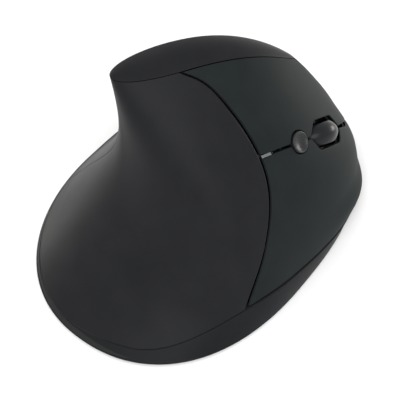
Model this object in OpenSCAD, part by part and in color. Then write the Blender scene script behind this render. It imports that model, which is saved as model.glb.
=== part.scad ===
// Vertical mouse for the right hand. The twisted body holds the hand as in a handshake: two main
// buttons, a scroll wheel and a speed button face the fingers, two thumb buttons sit on the other
// side, and the sensor, battery bay and receiver are underneath.
// Millimetres. +Y points to the nose, +X to the palm side and +Z up. The desk is z = 0, and the
// origin is the middle of the footprint.

/* [Body] */
// Height of the ridge above the desk
height = 68; // [66:0.5:71]
// Reach of the palm side at the desk
palm_reach = 43; // [41:0.5:46]
// Where the palm edge of the ridge lies; negative is over the thumb side
ridge_edge = -8; // [-9:0.25:-7]
// Distance of the thumb wall from the middle, below the ridge
thumb_wall = 17; // [16:0.25:19]
// Extra reach of the thumb rest at the desk
thumb_flare = 30; // [28:0.5:32]
// Overhang of the ridge above the thumb
thumb_overhang = 4; // [2:0.25:5]
// Distance of the rear of the neck from the middle
neck_depth = 17.5; // [16.5:0.25:20]
// Extra reach of the heel at the desk
heel_flare = 40; // [38:0.5:42]
// Overhang of the ridge behind the neck
neck_overhang = 3.5; // [2:0.25:5]
// Reach of the nose
nose_reach = 64; // [62:0.5:67]
// How far the nose rakes back up to the ridge
nose_rake = 23; // [21:0.5:25]
// How far the nose tucks in down to the desk
nose_tuck = 2.5; // [0:0.25:5]
// Drop of the ridge line 50 mm ahead of its peak
front_drop = 25.6; // [24:0.2:27]
// Turn of the desk outline about the vertical, degrees
desk_yaw = 15.5; // [13:0.5:18]
// Turn of the ridge about the vertical, degrees
ridge_yaw = -14.5; // [-17:0.5:-12]

/* [Shells] */
// Wall of the moulded shells
wall = 1.8; // [1.5:0.1:2]
// Gap between fixed shells
shell_gap = 0.4; // [0.3:0.05:0.5]
// Gap around the main buttons
button_gap = 0.7; // [0.65:0.05:0.9]
// Gap between the main buttons and the thumb side at the nose
nose_gap = 0.9; // [0.85:0.05:1.2]
// Gap between the two main buttons
slit_gap = 0.8; // [0.7:0.05:1]
// Height of the base's lip under the palm
lip_high = 10.4; // [9:0.2:12]
// Height of the base's edge elsewhere
lip_low = 2.8; // [2.7:0.1:3.4]
// Thickness of the base's floor
floor_th = 1.8; // [1.6:0.1:2]
// Rise of the crowned ridge cap
cap_crown = 1.2; // [0.6:0.1:1.6]

/* [Wheel] */
// Diameter of the scroll wheel
wheel_d = 18; // [17:0.5:19]
// Width of the scroll wheel
wheel_w = 7; // [6.5:0.25:7.5]
// How far the wheel stands out of the buttons
wheel_proud = 2.6; // [2.2:0.1:3]
// Depth of the rubber tyre
tyre_depth = 2.2; // [1.8:0.1:2.6]
// Diameter of the wheel's axle
axle_d = 3; // [2.5:0.1:3.4]
// Length of the wheel's axle
axle_l = 19; // [18.5:0.25:19.5]
// Clear room on each side of the wheel
wheel_room = 1.35; // [1.2:0.05:1.5]
// Travel of the wheel rocker, degrees
rocker_travel = 2; // [1:0.25:2.5]

/* [Controls] */
// Travel of the main buttons, degrees
button_travel = 0.8; // [0.5:0.05:0.9]
// Length of the speed button along the slit
speed_l = 6.6; // [6:0.1:7]
// Width of the speed button across the slit
speed_w = 6.9; // [6.4:0.1:7.4]
// Travel of the speed and thumb buttons
key_travel = 0.4; // [0.3:0.05:0.5]
// Clear gap around the speed button
key_gap = 0.35; // [0.3:0.05:0.45]
// Clear gap around the thumb buttons
thumb_gap = 0.5; // [0.45:0.05:0.6]
// Height of the thumb buttons
thumb_key_h = 5.6; // [5:0.1:6.4]
// How far the thumb buttons stand proud
thumb_key_proud = 0.9; // [0.5:0.1:1.2]
// Length of the indicator strip
strip_l = 3.6; // [3:0.1:4.2]
// Width of the indicator strip
strip_w = 1; // [0.8:0.05:1.2]

/* [Underside] */
// Height of the feet
foot_h = 0.7; // [0.6:0.05:0.8]
// Length of a foot
foot_l = 18; // [14:0.5:20]
// Width of a foot
foot_w = 6; // [5:0.25:7]
// Diameter of a battery cell
cell_d = 10.5; // [10:0.1:10.8]
// Length of a battery cell
cell_l = 44.5; // [43:0.1:45]
// Thickness of the battery door
door_th = 1.6; // [1.4:0.05:1.7]
// Length of the receiver
receiver_l = 19; // [18:0.5:20]
// Width of the receiver
receiver_w = 14.4; // [14:0.1:15]
// Thickness of the receiver
receiver_h = 6; // [5.6:0.1:6.2]
// Travel of the power slider
power_travel = 2; // [1.5:0.1:2.2]

/* [Electronics] */
// Thickness of the circuit boards
board_th = 1.6; // [1:0.1:1.8]
// Depth of the button board below the wheel's tangent plane
board_depth = 13.5; // [13:0.1:14.5]
// Height of the main button switches
switch_h = 6.5; // [6:0.1:7]
// Height of the small push switches
tact_h = 3.5; // [3:0.1:3.8]
// Height of a switch's plunger
plunger_h = 0.8; // [0.6:0.05:1]
// Play between a control and its switch after its travel
press_play = 0.15; // [0.1:0.05:0.3]

/* [Hidden] */
$fn = 48;

plastic = [0.13, 0.14, 0.14];
satin = [0.16, 0.17, 0.17];
dark = [0.08, 0.08, 0.09];
board_green = [0.1, 0.3, 0.2];
metal = [0.72, 0.72, 0.74];

// Clearance of a pin in its hole, of a piece pressed onto another, and of pieces that rest face to
// face
run_fit = 0.05;
press_fit = 0.02;
seat = 0.1;
rise = height - foot_h;

function mix(a, b, k) = a + (b - a) * k;
function smooth(k) = k * k * (3 - 2 * k);
function bell(k) = abs(k) < 1 ? pow(cos(90 * k), 2) : 0;
function unit(v) = v / norm(v);
function steps(n) = [for (i = [0:n]) i / n];

// The body form. A level t runs from 0 at the desk to 1 at the ridge. At each level the outline
// is a squared oval about a middle point, turned by a yaw that changes with the level.
nose_level = 0.44;
desk_mid = -1.5;
ridge_mid = -14.5;
mid_y = -0.5;
rear_square = 2.1;
ridge_square = 2.1;
nose_square = 2.75;
arch_reach = 50;
ridge_peak = 1;
rear_drop = 4;

function palm_x(t) = ridge_edge + (palm_reach - ridge_edge) * (1 - pow(t, 1.8));
function thumb_x(t) = -(thumb_wall + thumb_flare * pow(1 - t, 1.6) + thumb_overhang * pow(t, 4));
function rear_y(t) = -(neck_depth + heel_flare * pow(1 - t, 3) + neck_overhang * pow(t, 3.6));
function front_y(t) = nose_reach
    - nose_rake * pow(max(0, t - nose_level) / (1 - nose_level), 2.1)
    - nose_tuck * pow(max(0, nose_level - t) / nose_level, 2);
function front_square(t) =
    mix(ridge_square, nose_square, smooth(min(1, (1 - t) / (1 - nose_level))));
function drop(y) = let (k = (y - ridge_peak) / arch_reach)
    k > 0 ? front_drop * pow(k, 2.4) : rear_drop * k * k;

// A point of the form, before it is centred on the origin, at a bearing and a level. A depth d
// shortens every reach and the height, which gives the inside of a wall of that thickness.
function raw_form(bearing, t, d) =
    let (
        c = cos(bearing),
        s = sin(bearing),
        n = s > 0 ? front_square(t) : rear_square,
        r = pow(pow(abs(c), n) + pow(abs(s), n), -1 / n),
        mid_x = mix(desk_mid, ridge_mid, t),
        across = (c > 0 ? palm_x(t) - mid_x : mid_x - thumb_x(t)) - d,
        ahead = (s > 0 ? front_y(t) - mid_y : mid_y - rear_y(t)) - d,
        x = mid_x + across * r * c,
        y = mid_y + ahead * r * s,
        yaw = mix(desk_yaw, ridge_yaw, t),
        fx = x * cos(yaw) - y * sin(yaw),
        fy = x * sin(yaw) + y * cos(yaw)
    )
    [fx, fy, foot_h + (rise - d) * t * (1 - drop(fy) / rise)];

form_samples = [for (t = steps(12), b = [0:3:357]) raw_form(b, t, 0)];
xs = [for (p = form_samples) p.x];
ys = [for (p = form_samples) p.y];
middle = [(min(xs) + max(xs)) / 2, (min(ys) + max(ys)) / 2, 0];

function form(bearing, t, d = 0) = raw_form(bearing, t, d) - middle;

// Millimetres per degree of bearing and per unit of level
function along(b, t) = norm(form(b + 0.5, t) - form(b - 0.5, t));
function inner_level(t) = max(0.006, min(0.99, t));
function up(b, t) = let (k = inner_level(t)) norm(form(b, k + 0.005) - form(b, k - 0.005)) / 0.01;

// A frame on the form: its place, the tangent along the bearing, the tangent up the form and the
// outward normal
function frame_at(b, t) =
    let (
        x = unit(form(b + 0.5, t) - form(b - 0.5, t)),
        k = inner_level(t),
        z = unit(cross(x, form(b, k + 0.005) - form(b, k - 0.005)))
    )
    [form(b, t), x, cross(z, x), z];
// The same frame turned about its normal, so that its x runs along a given direction
function turned(f, dir) =
    let (x = unit(dir - (dir * f[3]) * f[3])) [f[0], x, cross(f[3], x), f[3]];
function to_world(f, p) = f[0] + f[1] * p.x + f[2] * p.y + f[3] * p.z;
function to_local(f, p) = let (q = p - f[0]) [q * f[1], q * f[2], q * f[3]];

module place(f) {
    multmatrix([
        [f[1].x, f[2].x, f[3].x, f[0].x],
        [f[1].y, f[2].y, f[3].y, f[0].y],
        [f[1].z, f[2].z, f[3].z, f[0].z]
    ]) children();
}

// The parting lines, as bearings or levels
seam_bearing = 13;
seam_level = 0.735;
seam_bow = 108;
front_bearing = 90;
heel_bearing = -166;
neck_bearing = -92;
thumb_level = 0.7;
lip_bearing = -11;
lip_spread = 58;
nose_lip = 1.5;
nose_lip_bearing = 70;
nose_lip_spread = 60;

function seam(t) = seam_bearing - seam_bow * pow(t - seam_level, 2);
function rear_seam(t) = mix(heel_bearing, neck_bearing, smooth(t));
function signed(b) = b > 180 ? b - 360 : b;
function lip_z(b) = lip_low
    + (lip_high - lip_low) * bell((signed(b) - lip_bearing) / lip_spread)
    + nose_lip * bell((signed(b) - nose_lip_bearing) / nose_lip_spread);
function lip(b) = (lip_z(b) - foot_h) / (rise - drop(raw_form(b, 0.05, 0).y));

// A parting line moved sideways by a distance g: along the bearing, or up the form
function beside(edge, t, g) =
    let (
        b = edge(t),
        slope = (edge(t + 0.01) - edge(t - 0.01)) / 0.02 * along(b, t) / up(b, t)
    )
    b + g * sqrt(1 + slope * slope) / along(b, t);
function above(level, b, g) = level(b) + g / up(b, max(0.01, level(b)));

// The level where an edge, which gives a bearing, crosses a level line
function meet(edge, level, t = 0.5, n = 20) =
    n == 0 ? t : meet(edge, level, level(edge(t)), n - 1);

// The point at (u, v) of a patch between four border curves in (bearing, level)
function patch_point(low, high, left, right, u, v) =
    mix(low(u), high(u), v) + mix(left(v), right(v), u)
    - mix(mix(low(0), low(1), u), mix(high(0), high(1), u), v);

// A closed skin between an outer and an inner grid of points
module skin(outer, inner) {
    rows = len(outer);
    cols = len(outer[0]);
    function id(side, i, j) = (side * rows + i) * cols + j;
    sheet = [for (i = [0:rows - 2], j = [0:cols - 2])
        [[0, i, j], [0, i, j + 1], [0, i + 1, j + 1], [0, i + 1, j]]];
    back = [for (q = sheet) [for (k = [3:-1:0]) [1, q[k][1], q[k][2]]]];
    ends = [for (i = [0:rows - 2]) each [
        [[0, i, 0], [0, i + 1, 0], [1, i + 1, 0], [1, i, 0]],
        [[0, i + 1, cols - 1], [0, i, cols - 1], [1, i, cols - 1], [1, i + 1, cols - 1]]]];
    sides = [for (j = [0:cols - 2]) each [
        [[0, 0, j + 1], [0, 0, j], [1, 0, j], [1, 0, j + 1]],
        [[0, rows - 1, j], [0, rows - 1, j + 1], [1, rows - 1, j + 1], [1, rows - 1, j]]]];
    polyhedron(
        [for (g = [outer, inner], row = g) each row],
        [for (q = concat(sheet, back, ends, sides))
            let (v = [for (c = q) id(c[0], c[1], c[2])])
            each [[v[0], v[1], v[2]], [v[0], v[2], v[3]]]]);
}

// A closed solid through a stack of rings with the same number of points
module loft(rings) {
    n = len(rings[0]);
    last = len(rings) - 1;
    polyhedron(
        [for (r = rings) each r],
        concat(
            [[for (i = [0:n - 1]) i]],
            [for (k = [0:last - 1], i = [0:n - 1])
                let (j = (i + 1) % n)
                each [[k * n + i, (k + 1) * n + i, (k + 1) * n + j],
                      [k * n + i, (k + 1) * n + j, k * n + j]]],
            [[for (i = [n - 1:-1:0]) last * n + i]]));
}

// A shell of the body: the patch between four borders, through the wall. The wall's edges are
// mitred with the neighbouring shells, and square to the form where the share of square is 1.
function inside(b, t, share) =
    share == 0 ? form(b, t, wall)
        : let (f = frame_at(b, t)) mix(form(b, t, wall), f[0] - wall * f[3], share);
module shell(low, high, left, right, us, vs, square = function(u, v) 0) {
    patch = [for (u = us) [for (v = vs)
        concat(patch_point(low, high, left, right, u, v), square(u, v))]];
    skin(
        [for (row = patch) [for (q = row) form(q[0], q[1])]],
        [for (row = patch) [for (q = row) inside(q[0], q[1], q[2])]]);
}

// A post that grows out of a shell's wall, along a frame's normal, down to a plane of that frame
module post(b, t, r, f, level, sides = 20) {
    top = [for (i = [0:sides - 1])
        let (a = 360 * i / sides)
        to_local(f, form(b + r * cos(a) / along(b, t), t + r * sin(a) / up(b, t), wall / 2))];
    place(f) loft([[for (p = top) [p.x, p.y, level]], top]);
}

world = [[0, 0, 0], [1, 0, 0], [0, 1, 0], [0, 0, 1]];

// The slit between the main buttons. Its half width opens into a six-sided window for the wheel,
// an oval for the speed button, a slot for the indicator strip and a flare at the nose.
// The slit falls slowly from the seam to the nose, and the wheel lies in line with it.
wheel_bearing = 40.6;
speed_bearing = 27;
wheel_level = 0.6648;
slit_fall = 0.00055;
function slit_level(b) = wheel_level - slit_fall * (b - wheel_bearing);
function slit_line(b, d = 0) = form(b, slit_level(b), d);
wheel_f = turned(
    frame_at(wheel_bearing, wheel_level),
    slit_line(wheel_bearing + 1) - slit_line(wheel_bearing - 1));
slit_pace = along(wheel_bearing, wheel_level);
window_flat = [6.1, 6.3];
window_tip = [9.8, 9.9];
flare_l = 8;
flare_w = 0.6;
strip_room = 0.15;

seam_out = function(t) beside(function(k) seam(k), t, button_gap / 2);
seam_in = function(t) beside(function(k) seam(k), t, -button_gap / 2);
slit_start = seam_out(slit_level(seam_bearing));
strip_end = slit_start + (strip_l + strip_room) / slit_pace;
button_nose = function(t) beside(function(k) front_bearing, t, shell_gap / 2 - nose_gap);
nose_end = button_nose(slit_level(front_bearing));

function slit_s(b) = (b - wheel_bearing) * slit_pace;
function oval(s, l, w) = abs(s) < l ? w * sqrt(1 - s * s / l / l) : 0;
function window(s) =
    let (k = s < 0 ? 0 : 1)
    (wheel_w / 2 + wheel_room)
        * max(0, min(1, (window_tip[k] - abs(s)) / (window_tip[k] - window_flat[k])));
function slit_half(b) =
    let (s = slit_s(b))
    max(slit_gap / 2 + flare_w * max(0, min(1, (s - window_tip[1]) / flare_l)),
        window(s),
        oval((b - speed_bearing) * slit_pace, speed_l / 2 + key_gap, speed_w / 2 + key_gap),
        b <= strip_end ? strip_w / 2 + strip_room : 0);

oval_reach = (speed_l / 2 + key_gap) / slit_pace;
slit_bearings = concat(
    [slit_start, strip_end, strip_end + 0.15, mix(strip_end, speed_bearing - oval_reach, 0.6)],
    [for (k = [0:8]) speed_bearing - oval_reach * cos(22.5 * k)],
    [for (s = [-window_tip[0], -window_flat[0], -window_flat[0] / 2, 0, window_flat[1] / 2, window_flat[1]])
        wheel_bearing + s / slit_pace],
    [for (k = [0:8]) mix(wheel_bearing + window_tip[1] / slit_pace, nose_end, k / 8)]);
slit_us = [for (b = slit_bearings) slit_share(b)];

// The buttons' walls are square along the slit, from behind the speed button to before the nose
square_start = [0.06, 0.12];
square_stop = [0.95, 0.6];
function ramp(u, range) = smooth(max(0, min(1, (u - range[0]) / (range[1] - range[0]))));
function square_share(u) = ramp(u, square_start) * ramp(u, square_stop);

// A point of the slit's edge, as a bearing and a level. The step of the form per level leans along
// the slit, and the lean is taken out where the openings are cut.
function slit_step(b) =
    to_local(frame_at(b, slit_level(b)), form(b, slit_level(b) + 0.005)) / 0.005;
function slit_share(b) = (b - slit_start) / (nose_end - slit_start);
function slit_point(b, side) =
    let (
        h = side * slit_half(b),
        k = slit_step(b)
    )
    [b - square_share(slit_share(b)) * h * k.x / k.y / slit_pace, slit_level(b) + h / k.y];
function slit_border(side) = function(u) slit_point(mix(slit_start, nose_end, u), side);

// The line of the thumb buttons, on the other side of the ridge
thumb_keys = [[157.5, 7.4], [177, 7.4]];
thumb_f = frame_at(167, thumb_level);
function thumb_pace(k) = along(thumb_keys[k][0], thumb_level);
function key_oval(s, l, h) = abs(s) < l ? h * pow(1 - pow(s / l, 4), 0.25) : 0;
function thumb_half(b) = max(
    shell_gap / 2,
    max([for (k = [0:1]) key_oval((b - thumb_keys[k][0]) * thumb_pace(k),
        thumb_keys[k][1] + thumb_gap, thumb_key_h / 2 + thumb_gap)]));
function thumb_edge(b, side) = thumb_level + side * thumb_half(b) / up(b, thumb_level);
nose_rim = function(t) beside(function(k) front_bearing, t, shell_gap / 2);
rear_rim = function(t) beside(function(k) rear_seam(k), t, -shell_gap / 2) + 360;
key_bearings = [for (k = [0:1]) [for (i = [0:10])
    thumb_keys[k][0] - (thumb_keys[k][1] + thumb_gap) / thumb_pace(k) * cos(18 * i)]];
thumb_bearings = concat(
    [for (i = [0:8]) mix(nose_rim(thumb_level), key_bearings[0][0], i / 8 * 0.98)],
    key_bearings[0],
    key_bearings[1],
    [for (i = [1:10]) mix(key_bearings[1][10], rear_rim(thumb_level), i / 10)]);
thumb_us = [for (b = thumb_bearings)
    (b - thumb_bearings[0]) / (rear_rim(thumb_level) - thumb_bearings[0])];

// Borders of the shells, as functions of a share along each border
lip_top = function(b) above(function(k) lip(k), b, shell_gap / 2);
button_lip = function(b) above(function(k) lip(k), b, button_gap - shell_gap / 2);
ridge_line = function(b) 1 - shell_gap / 2 / up(b, 0.98);

function border_level(level, b0, b1) =
    function(k) let (b = mix(b0, b1, k)) [b, level(b)];
function border_edge(edge, t0, t1) =
    function(k) let (t = mix(t0, t1, k)) [edge(t), t];

module palm_panel() {
    rear = function(t) beside(function(k) rear_seam(k), t, shell_gap / 2);
    t_heel = meet(rear, lip_top);
    t_seam = meet(seam_in, lip_top);
    t_top = meet(seam_in, ridge_line);
    t_neck = meet(rear, ridge_line);
    color(plastic) difference() {
        union() {
            shell(
                border_level(lip_top, rear(t_heel), seam_in(t_seam)),
                border_level(ridge_line, rear(t_neck), seam_in(t_top)),
                border_edge(rear, t_heel, t_neck),
                border_edge(seam_in, t_seam, t_top),
                steps(26), steps(20));
            for (k = [0:1]) post(screw_spots[k][0], screw_spots[k][1], boss_r, world, boss_z);
            for (h = [left_hinge, right_hinge]) hinge_ears(h);
        }
        for (k = [0:1]) pilot_hole(k);
    }
}

module thumb_shell() {
    t_nose = meet(nose_rim, lip_top);
    t_heel = meet(rear_rim, lip_top);
    color(plastic) difference() {
        union() {
            shell(
                border_level(lip_top, nose_rim(t_nose), rear_rim(t_heel)),
                function(u) let (b = mix(thumb_bearings[0], rear_rim(thumb_level), u))
                    [b, thumb_edge(b, -1)],
                border_edge(nose_rim, t_nose, thumb_edge(thumb_bearings[0], -1)),
                border_edge(rear_rim, t_heel, thumb_edge(rear_rim(thumb_level), -1)),
                thumb_us, steps(11));
            for (k = [2:3]) post(screw_spots[k][0], screw_spots[k][1], boss_r, world, boss_z);
            for (k = [0:1])
                post(thumb_post_bearings[k], thumb_post_level, thumb_post_r, thumb_f,
                    -thumb_board_depth, 12);
        }
        for (k = [2:3]) pilot_hole(k);
    }
}

// The cap covers the ridge and runs down over the thumb side as far as the thumb buttons
cap_tip = 4;
module ridge_cap() {
    b_front = front_bearing + cap_tip;
    b_rear = neck_bearing + 360 - cap_tip;
    flank = steps(5);
    leaf = [for (k = [1:6]) k / 6];
    low = function(u) let (b = mix(thumb_bearings[0], rear_rim(thumb_level), u))
        [b, thumb_edge(b, 1)];
    high = function(u) [mix(b_front, b_rear, u), 1];
    left = function(v) mix(low(0), high(0), v);
    right = function(v) mix(low(1), high(1), v);
    edge_share = function(b, d) shell_gap / norm(form(b, 1, d) - form(180 - b, 1, d));
    function across(b, w, d) =
        let (k = w * (1 - edge_share(b, d)))
        mix(form(b, 1, d), form(180 - b, 1, d), k)
            + [0, 0, cap_crown * 4 * k * (1 - k) * abs(cos(b))];
    grid = [for (d = [0, wall]) [for (u = thumb_us) concat(
        [for (v = flank)
            let (q = patch_point(low, high, left, right, u, v)) form(q[0], q[1], d)],
        [for (w = leaf) across(high(u)[0], w, d)])]];
    color(plastic) skin(grid[0], grid[1]);
}

module left_button() {
    t_top = meet(seam_out, ridge_line);
    b_tip = button_nose(meet(button_nose, ridge_line));
    slit = slit_border(1);
    color(satin) difference() {
        union() {
            shell(
                slit,
                border_level(ridge_line, seam_out(t_top), b_tip),
                border_edge(seam_out, slit(0)[1], t_top),
                function(v) mix(slit(1), [b_tip, ridge_line(b_tip)], v),
                slit_us, steps(10), function(u, v) (1 - v) * square_share(u));
            hinge_web(left_hinge);
            post(switch_spots[0][0], switch_spots[0][1], press_r, wheel_f, press_z);
        }
        hinge_bore(left_hinge);
    }
}

module right_button() {
    t_seam = meet(seam_out, button_lip);
    t_nose = meet(button_nose, button_lip);
    slit = slit_border(-1);
    color(satin) difference() {
        union() {
            shell(
                border_level(button_lip, seam_out(t_seam), button_nose(t_nose)),
                slit,
                border_edge(seam_out, t_seam, slit(0)[1]),
                function(v) mix([button_nose(t_nose), t_nose], slit(1), v),
                slit_us, steps(13), function(u, v) v * square_share(u));
            hinge_web(right_hinge);
            post(switch_spots[1][0], switch_spots[1][1], press_r, wheel_f, press_z);
        }
        hinge_bore(right_hinge);
    }
}

// Each main button turns on a barrel under the seam, on two pins of the palm panel's ears. The
// barrel's web and the ears stand clear of the seam on their own sides.
hinge_depth = 5.6;
hinge_r = 1.9;
hinge_pin_r = 1;
hinge_barrel = 10;
hinge_ear = 2.2;
hinge_space = 1;
hinge_reach = 4.4;
hinge_clear = 1.3;
hinge_web_low = 0.6;
hinge_pin_in = 3;
left_hinge_level = 0.84;
right_hinge_level = 0.42;
function seam_frame(t) =
    turned(frame_at(seam(t), t), form(seam(t + 0.01), t + 0.01) - form(seam(t - 0.01), t - 0.01));
left_hinge = seam_frame(left_hinge_level);
right_hinge = seam_frame(right_hinge_level);

module along_hinge(f, from, to, r) {
    place(f) translate([from, 0, -hinge_depth]) rotate([0, 90, 0]) cylinder(r = r, h = to - from);
}
module hinge_web(f) {
    along_hinge(f, -hinge_barrel / 2, hinge_barrel / 2, hinge_r);
    place(f) translate([-hinge_barrel / 2, -hinge_reach, -hinge_depth - hinge_web_low])
        cube([hinge_barrel, hinge_reach - hinge_clear, hinge_depth + hinge_web_low - wall / 2]);
}
module hinge_bore(f) {
    along_hinge(f, -hinge_barrel, hinge_barrel, hinge_pin_r + run_fit);
}
module hinge_ears(f) {
    inner = hinge_barrel / 2 + hinge_space;
    for (side = [-1, 1]) {
        ear = side > 0 ? inner : -inner - hinge_ear;
        pin = side > 0 ? inner - hinge_pin_in : -inner - hinge_ear / 2;
        along_hinge(f, ear, ear + hinge_ear, hinge_r);
        along_hinge(f, pin, pin + hinge_pin_in + hinge_ear / 2, hinge_pin_r);
        place(f) translate([ear, hinge_clear, -hinge_depth - hinge_r])
            cube([hinge_ear, hinge_reach - hinge_clear, hinge_depth + hinge_r - wall / 2]);
    }
}

// The scroll wheel, in a rocker that turns on two pins and presses a switch with a side paddle
axle_z = -(wheel_d / 2 - wheel_proud);
wheel_chamfer = 2;
wheel_crest = 1.5;
crest_drop = 0.35;
crest_run = 0.7;
hub_inset = 0.4;
hub_boss = 1.5;
hub_recess = 1.6;
hub_rim = 1;
hub_fillet = 0.4;
cheek_th = 1.4;
cheek_gap = 0.6;
cheek_in = wheel_w / 2 + cheek_gap;
cheek_out = cheek_in + cheek_th;
cheek_h = 3.6;
cheek_rim = 1.3;
rocker_x = -11;
rocker_pin_r = 1.2;
rocker_pin_in = 0.2;
rocker_front = 12;
paddle_x = 10.4;
paddle_y = -9.4;
paddle_w = 3.6;
paddle_th = 1.6;
encoder_l = 9;
encoder_h = 6.4;
encoder_top = 2.4;
encoder_th = 3.4;

module on_axle(y, h) {
    place(wheel_f) translate([0, y, axle_z]) rotate([-90, 0, 0]) linear_extrude(h) children();
}
module wheel_turn() {
    place(wheel_f) translate([0, 0, axle_z]) rotate([-90, 0, 0]) rotate_extrude($fn = 96) children();
}
// A closed outline from the points of one half, in order from the bore outwards
function mirrored(half) =
    concat([for (p = half) [p.x, -p.y]], [for (i = [len(half) - 1:-1:0]) half[i]]);
module wheel_hub() {
    r = wheel_d / 2 - tyre_depth;
    bore = axle_d / 2 + press_fit;
    color(dark) wheel_turn() polygon(mirrored([
        [bore, wheel_w / 2 - hub_inset], [bore + hub_boss, wheel_w / 2 - hub_inset],
        [bore + hub_boss + hub_fillet, wheel_w / 2 - hub_recess],
        [r - hub_rim - hub_fillet, wheel_w / 2 - hub_recess],
        [r - hub_rim, wheel_w / 2 - hub_inset], [r, wheel_w / 2 - hub_inset]]));
}
module wheel_tyre() {
    r = wheel_d / 2;
    color(satin) wheel_turn() polygon(mirrored([
        [r - tyre_depth + press_fit, wheel_w / 2], [r - wheel_chamfer, wheel_w / 2],
        [r - crest_drop, wheel_crest], [r, wheel_crest - crest_run]]));
}
module wheel_axle() {
    color(metal) on_axle(-axle_l / 2, axle_l) circle(d = axle_d);
}
module cheek(side) {
    y = side > 0 ? cheek_in : -cheek_out;
    difference() {
        on_axle(y, cheek_th) union() {
            translate([rocker_x, 0]) circle(r = lug_half);
            circle(r = axle_d / 2 + cheek_rim);
            translate([rocker_x, -cheek_h / 2]) square([rocker_front - rocker_x, cheek_h]);
        }
        on_axle(y - 1, cheek_th + 2) circle(r = axle_d / 2 + run_fit);
    }
}
module wheel_rocker() {
    paddle_z = -board_depth + tact_h + plunger_h + press_play
        + (paddle_x - rocker_x) * sin(rocker_travel);
    color(dark) union() {
        for (side = [-1, 1]) {
            y = side > 0 ? cheek_out - rocker_pin_in : -cheek_out - lug_gap - lug_w;
            cheek(side);
            on_axle(y, rocker_pin_in + lug_gap + lug_w) translate([rocker_x, 0]) circle(r = rocker_pin_r);
        }
        place(wheel_f) {
            translate([rocker_front - cheek_th, -cheek_out, axle_z - cheek_h / 2])
                cube([cheek_th, 2 * cheek_out, cheek_h]);
            translate([paddle_x - paddle_w / 2, paddle_y - paddle_w / 2, paddle_z])
                cube([paddle_w, paddle_w / 2 - paddle_y - cheek_in, paddle_th]);
            translate([paddle_x - paddle_w / 2, -cheek_out, paddle_z])
                cube([paddle_w, cheek_th, axle_z - paddle_z]);
        }
    }
}
module wheel_encoder() {
    color(metal) difference() {
        place(wheel_f) translate([-encoder_l / 2, cheek_out + seat, axle_z - encoder_h + encoder_top])
            cube([encoder_l, encoder_th, encoder_h]);
        on_axle(cheek_out - 1, encoder_th + 3) circle(r = axle_d / 2 + run_fit);
    }
}

// The speed button: an oval cap with a dished top, on a stem above its switch
speed_f = frame_at(speed_bearing, slit_level(speed_bearing));
speed_p = to_local(wheel_f, speed_f[0]);
key_z = -board_depth + tact_h + plunger_h + key_travel + press_play;
speed_skirt = 3;
speed_rim = 0.4;
speed_dish = 0.4;
speed_sides = 32;
// The cap's outline from the skirt over the rim into the dish, as a share of its size and a height
speed_profile = [[1, -speed_skirt], [1, 0.1], [0.93, speed_rim], [0.84, speed_rim], [0.7, 0],
    [0.4, -0.9 * speed_dish], [0.08, -speed_dish]];
stem_r = 1.4;

module speed_button() {
    rings = [for (q = speed_profile) [for (i = [0:speed_sides - 1])
        let (a = 360 * i / speed_sides)
        [q[0] * speed_l / 2 * cos(a), q[0] * speed_w / 2 * sin(a), q[1]]]];
    color(dark) union() {
        place(speed_f) loft(rings);
        place(wheel_f) translate([speed_p.x, speed_p.y, key_z])
            cylinder(r = stem_r, h = speed_p.z - speed_skirt / 2 - key_z);
    }
}

// The thumb buttons stand a little proud and have a flange behind the shells
thumb_board_depth = 9.2;
thumb_board_l = 32;
thumb_board_y = [-10, 5];
thumb_post_level = 0.6;
thumb_post_bearings = [157.5, 175.5];
thumb_post_r = 1.8;
flange = 1;
flange_depth = wall + 0.3;
flange_th = 0.7;
thumb_key_z = -thumb_board_depth + tact_h + plunger_h + key_travel + press_play;

module thumb_key(k) {
    pace = thumb_pace(k);
    b_mid = thumb_keys[k][0];
    function reach(extra) = 0.998 * (thumb_keys[k][1] + extra) / pace;
    function side(extra, sign) = function(u)
        let (b = b_mid + mix(-1, 1, u) * reach(extra),
             h = key_oval((b - b_mid) * pace, thumb_keys[k][1] + extra, thumb_key_h / 2 + extra))
        [b, thumb_level + sign * h / up(b, thumb_level)];
    us = [for (i = [0:12]) (1 - cos(15 * i)) / 2];
    vs = [for (i = [0:6]) (1 - cos(30 * i)) / 2];
    function swell(u, v) = smooth(min(1, 6 * min(u, 1 - u))) * smooth(min(1, 3 * min(v, 1 - v)));
    function grid(extra, depth) = [for (u = us) [for (v = vs)
        let (low = side(extra, -1)(u), high = side(extra, 1)(u))
        form(low[0], mix(low[1], high[1], v), depth(u, v))]];
    color(satin) union() {
        skin(
            grid(0, function(u, v) -thumb_key_proud * swell(u, v)),
            grid(0, function(u, v) flange_depth + 1.5 * flange_th));
        skin(
            grid(flange, function(u, v) flange_depth),
            grid(flange, function(u, v) flange_depth + flange_th));
        post(b_mid, thumb_level, stem_r, thumb_f, thumb_key_z);
    }
}
module forward_button() { thumb_key(0); }
module back_button() { thumb_key(1); }

// The indicator strip lies in the slit next to the seam, with a tail under the palm panel, above a
// light on the button board
strip_tail = 3;
strip_tail_depth = wall + 0.3;
strip_tail_th = 0.8;
led_size = [2, 1.6, 0.8];
led_gap = 0.4;
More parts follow.
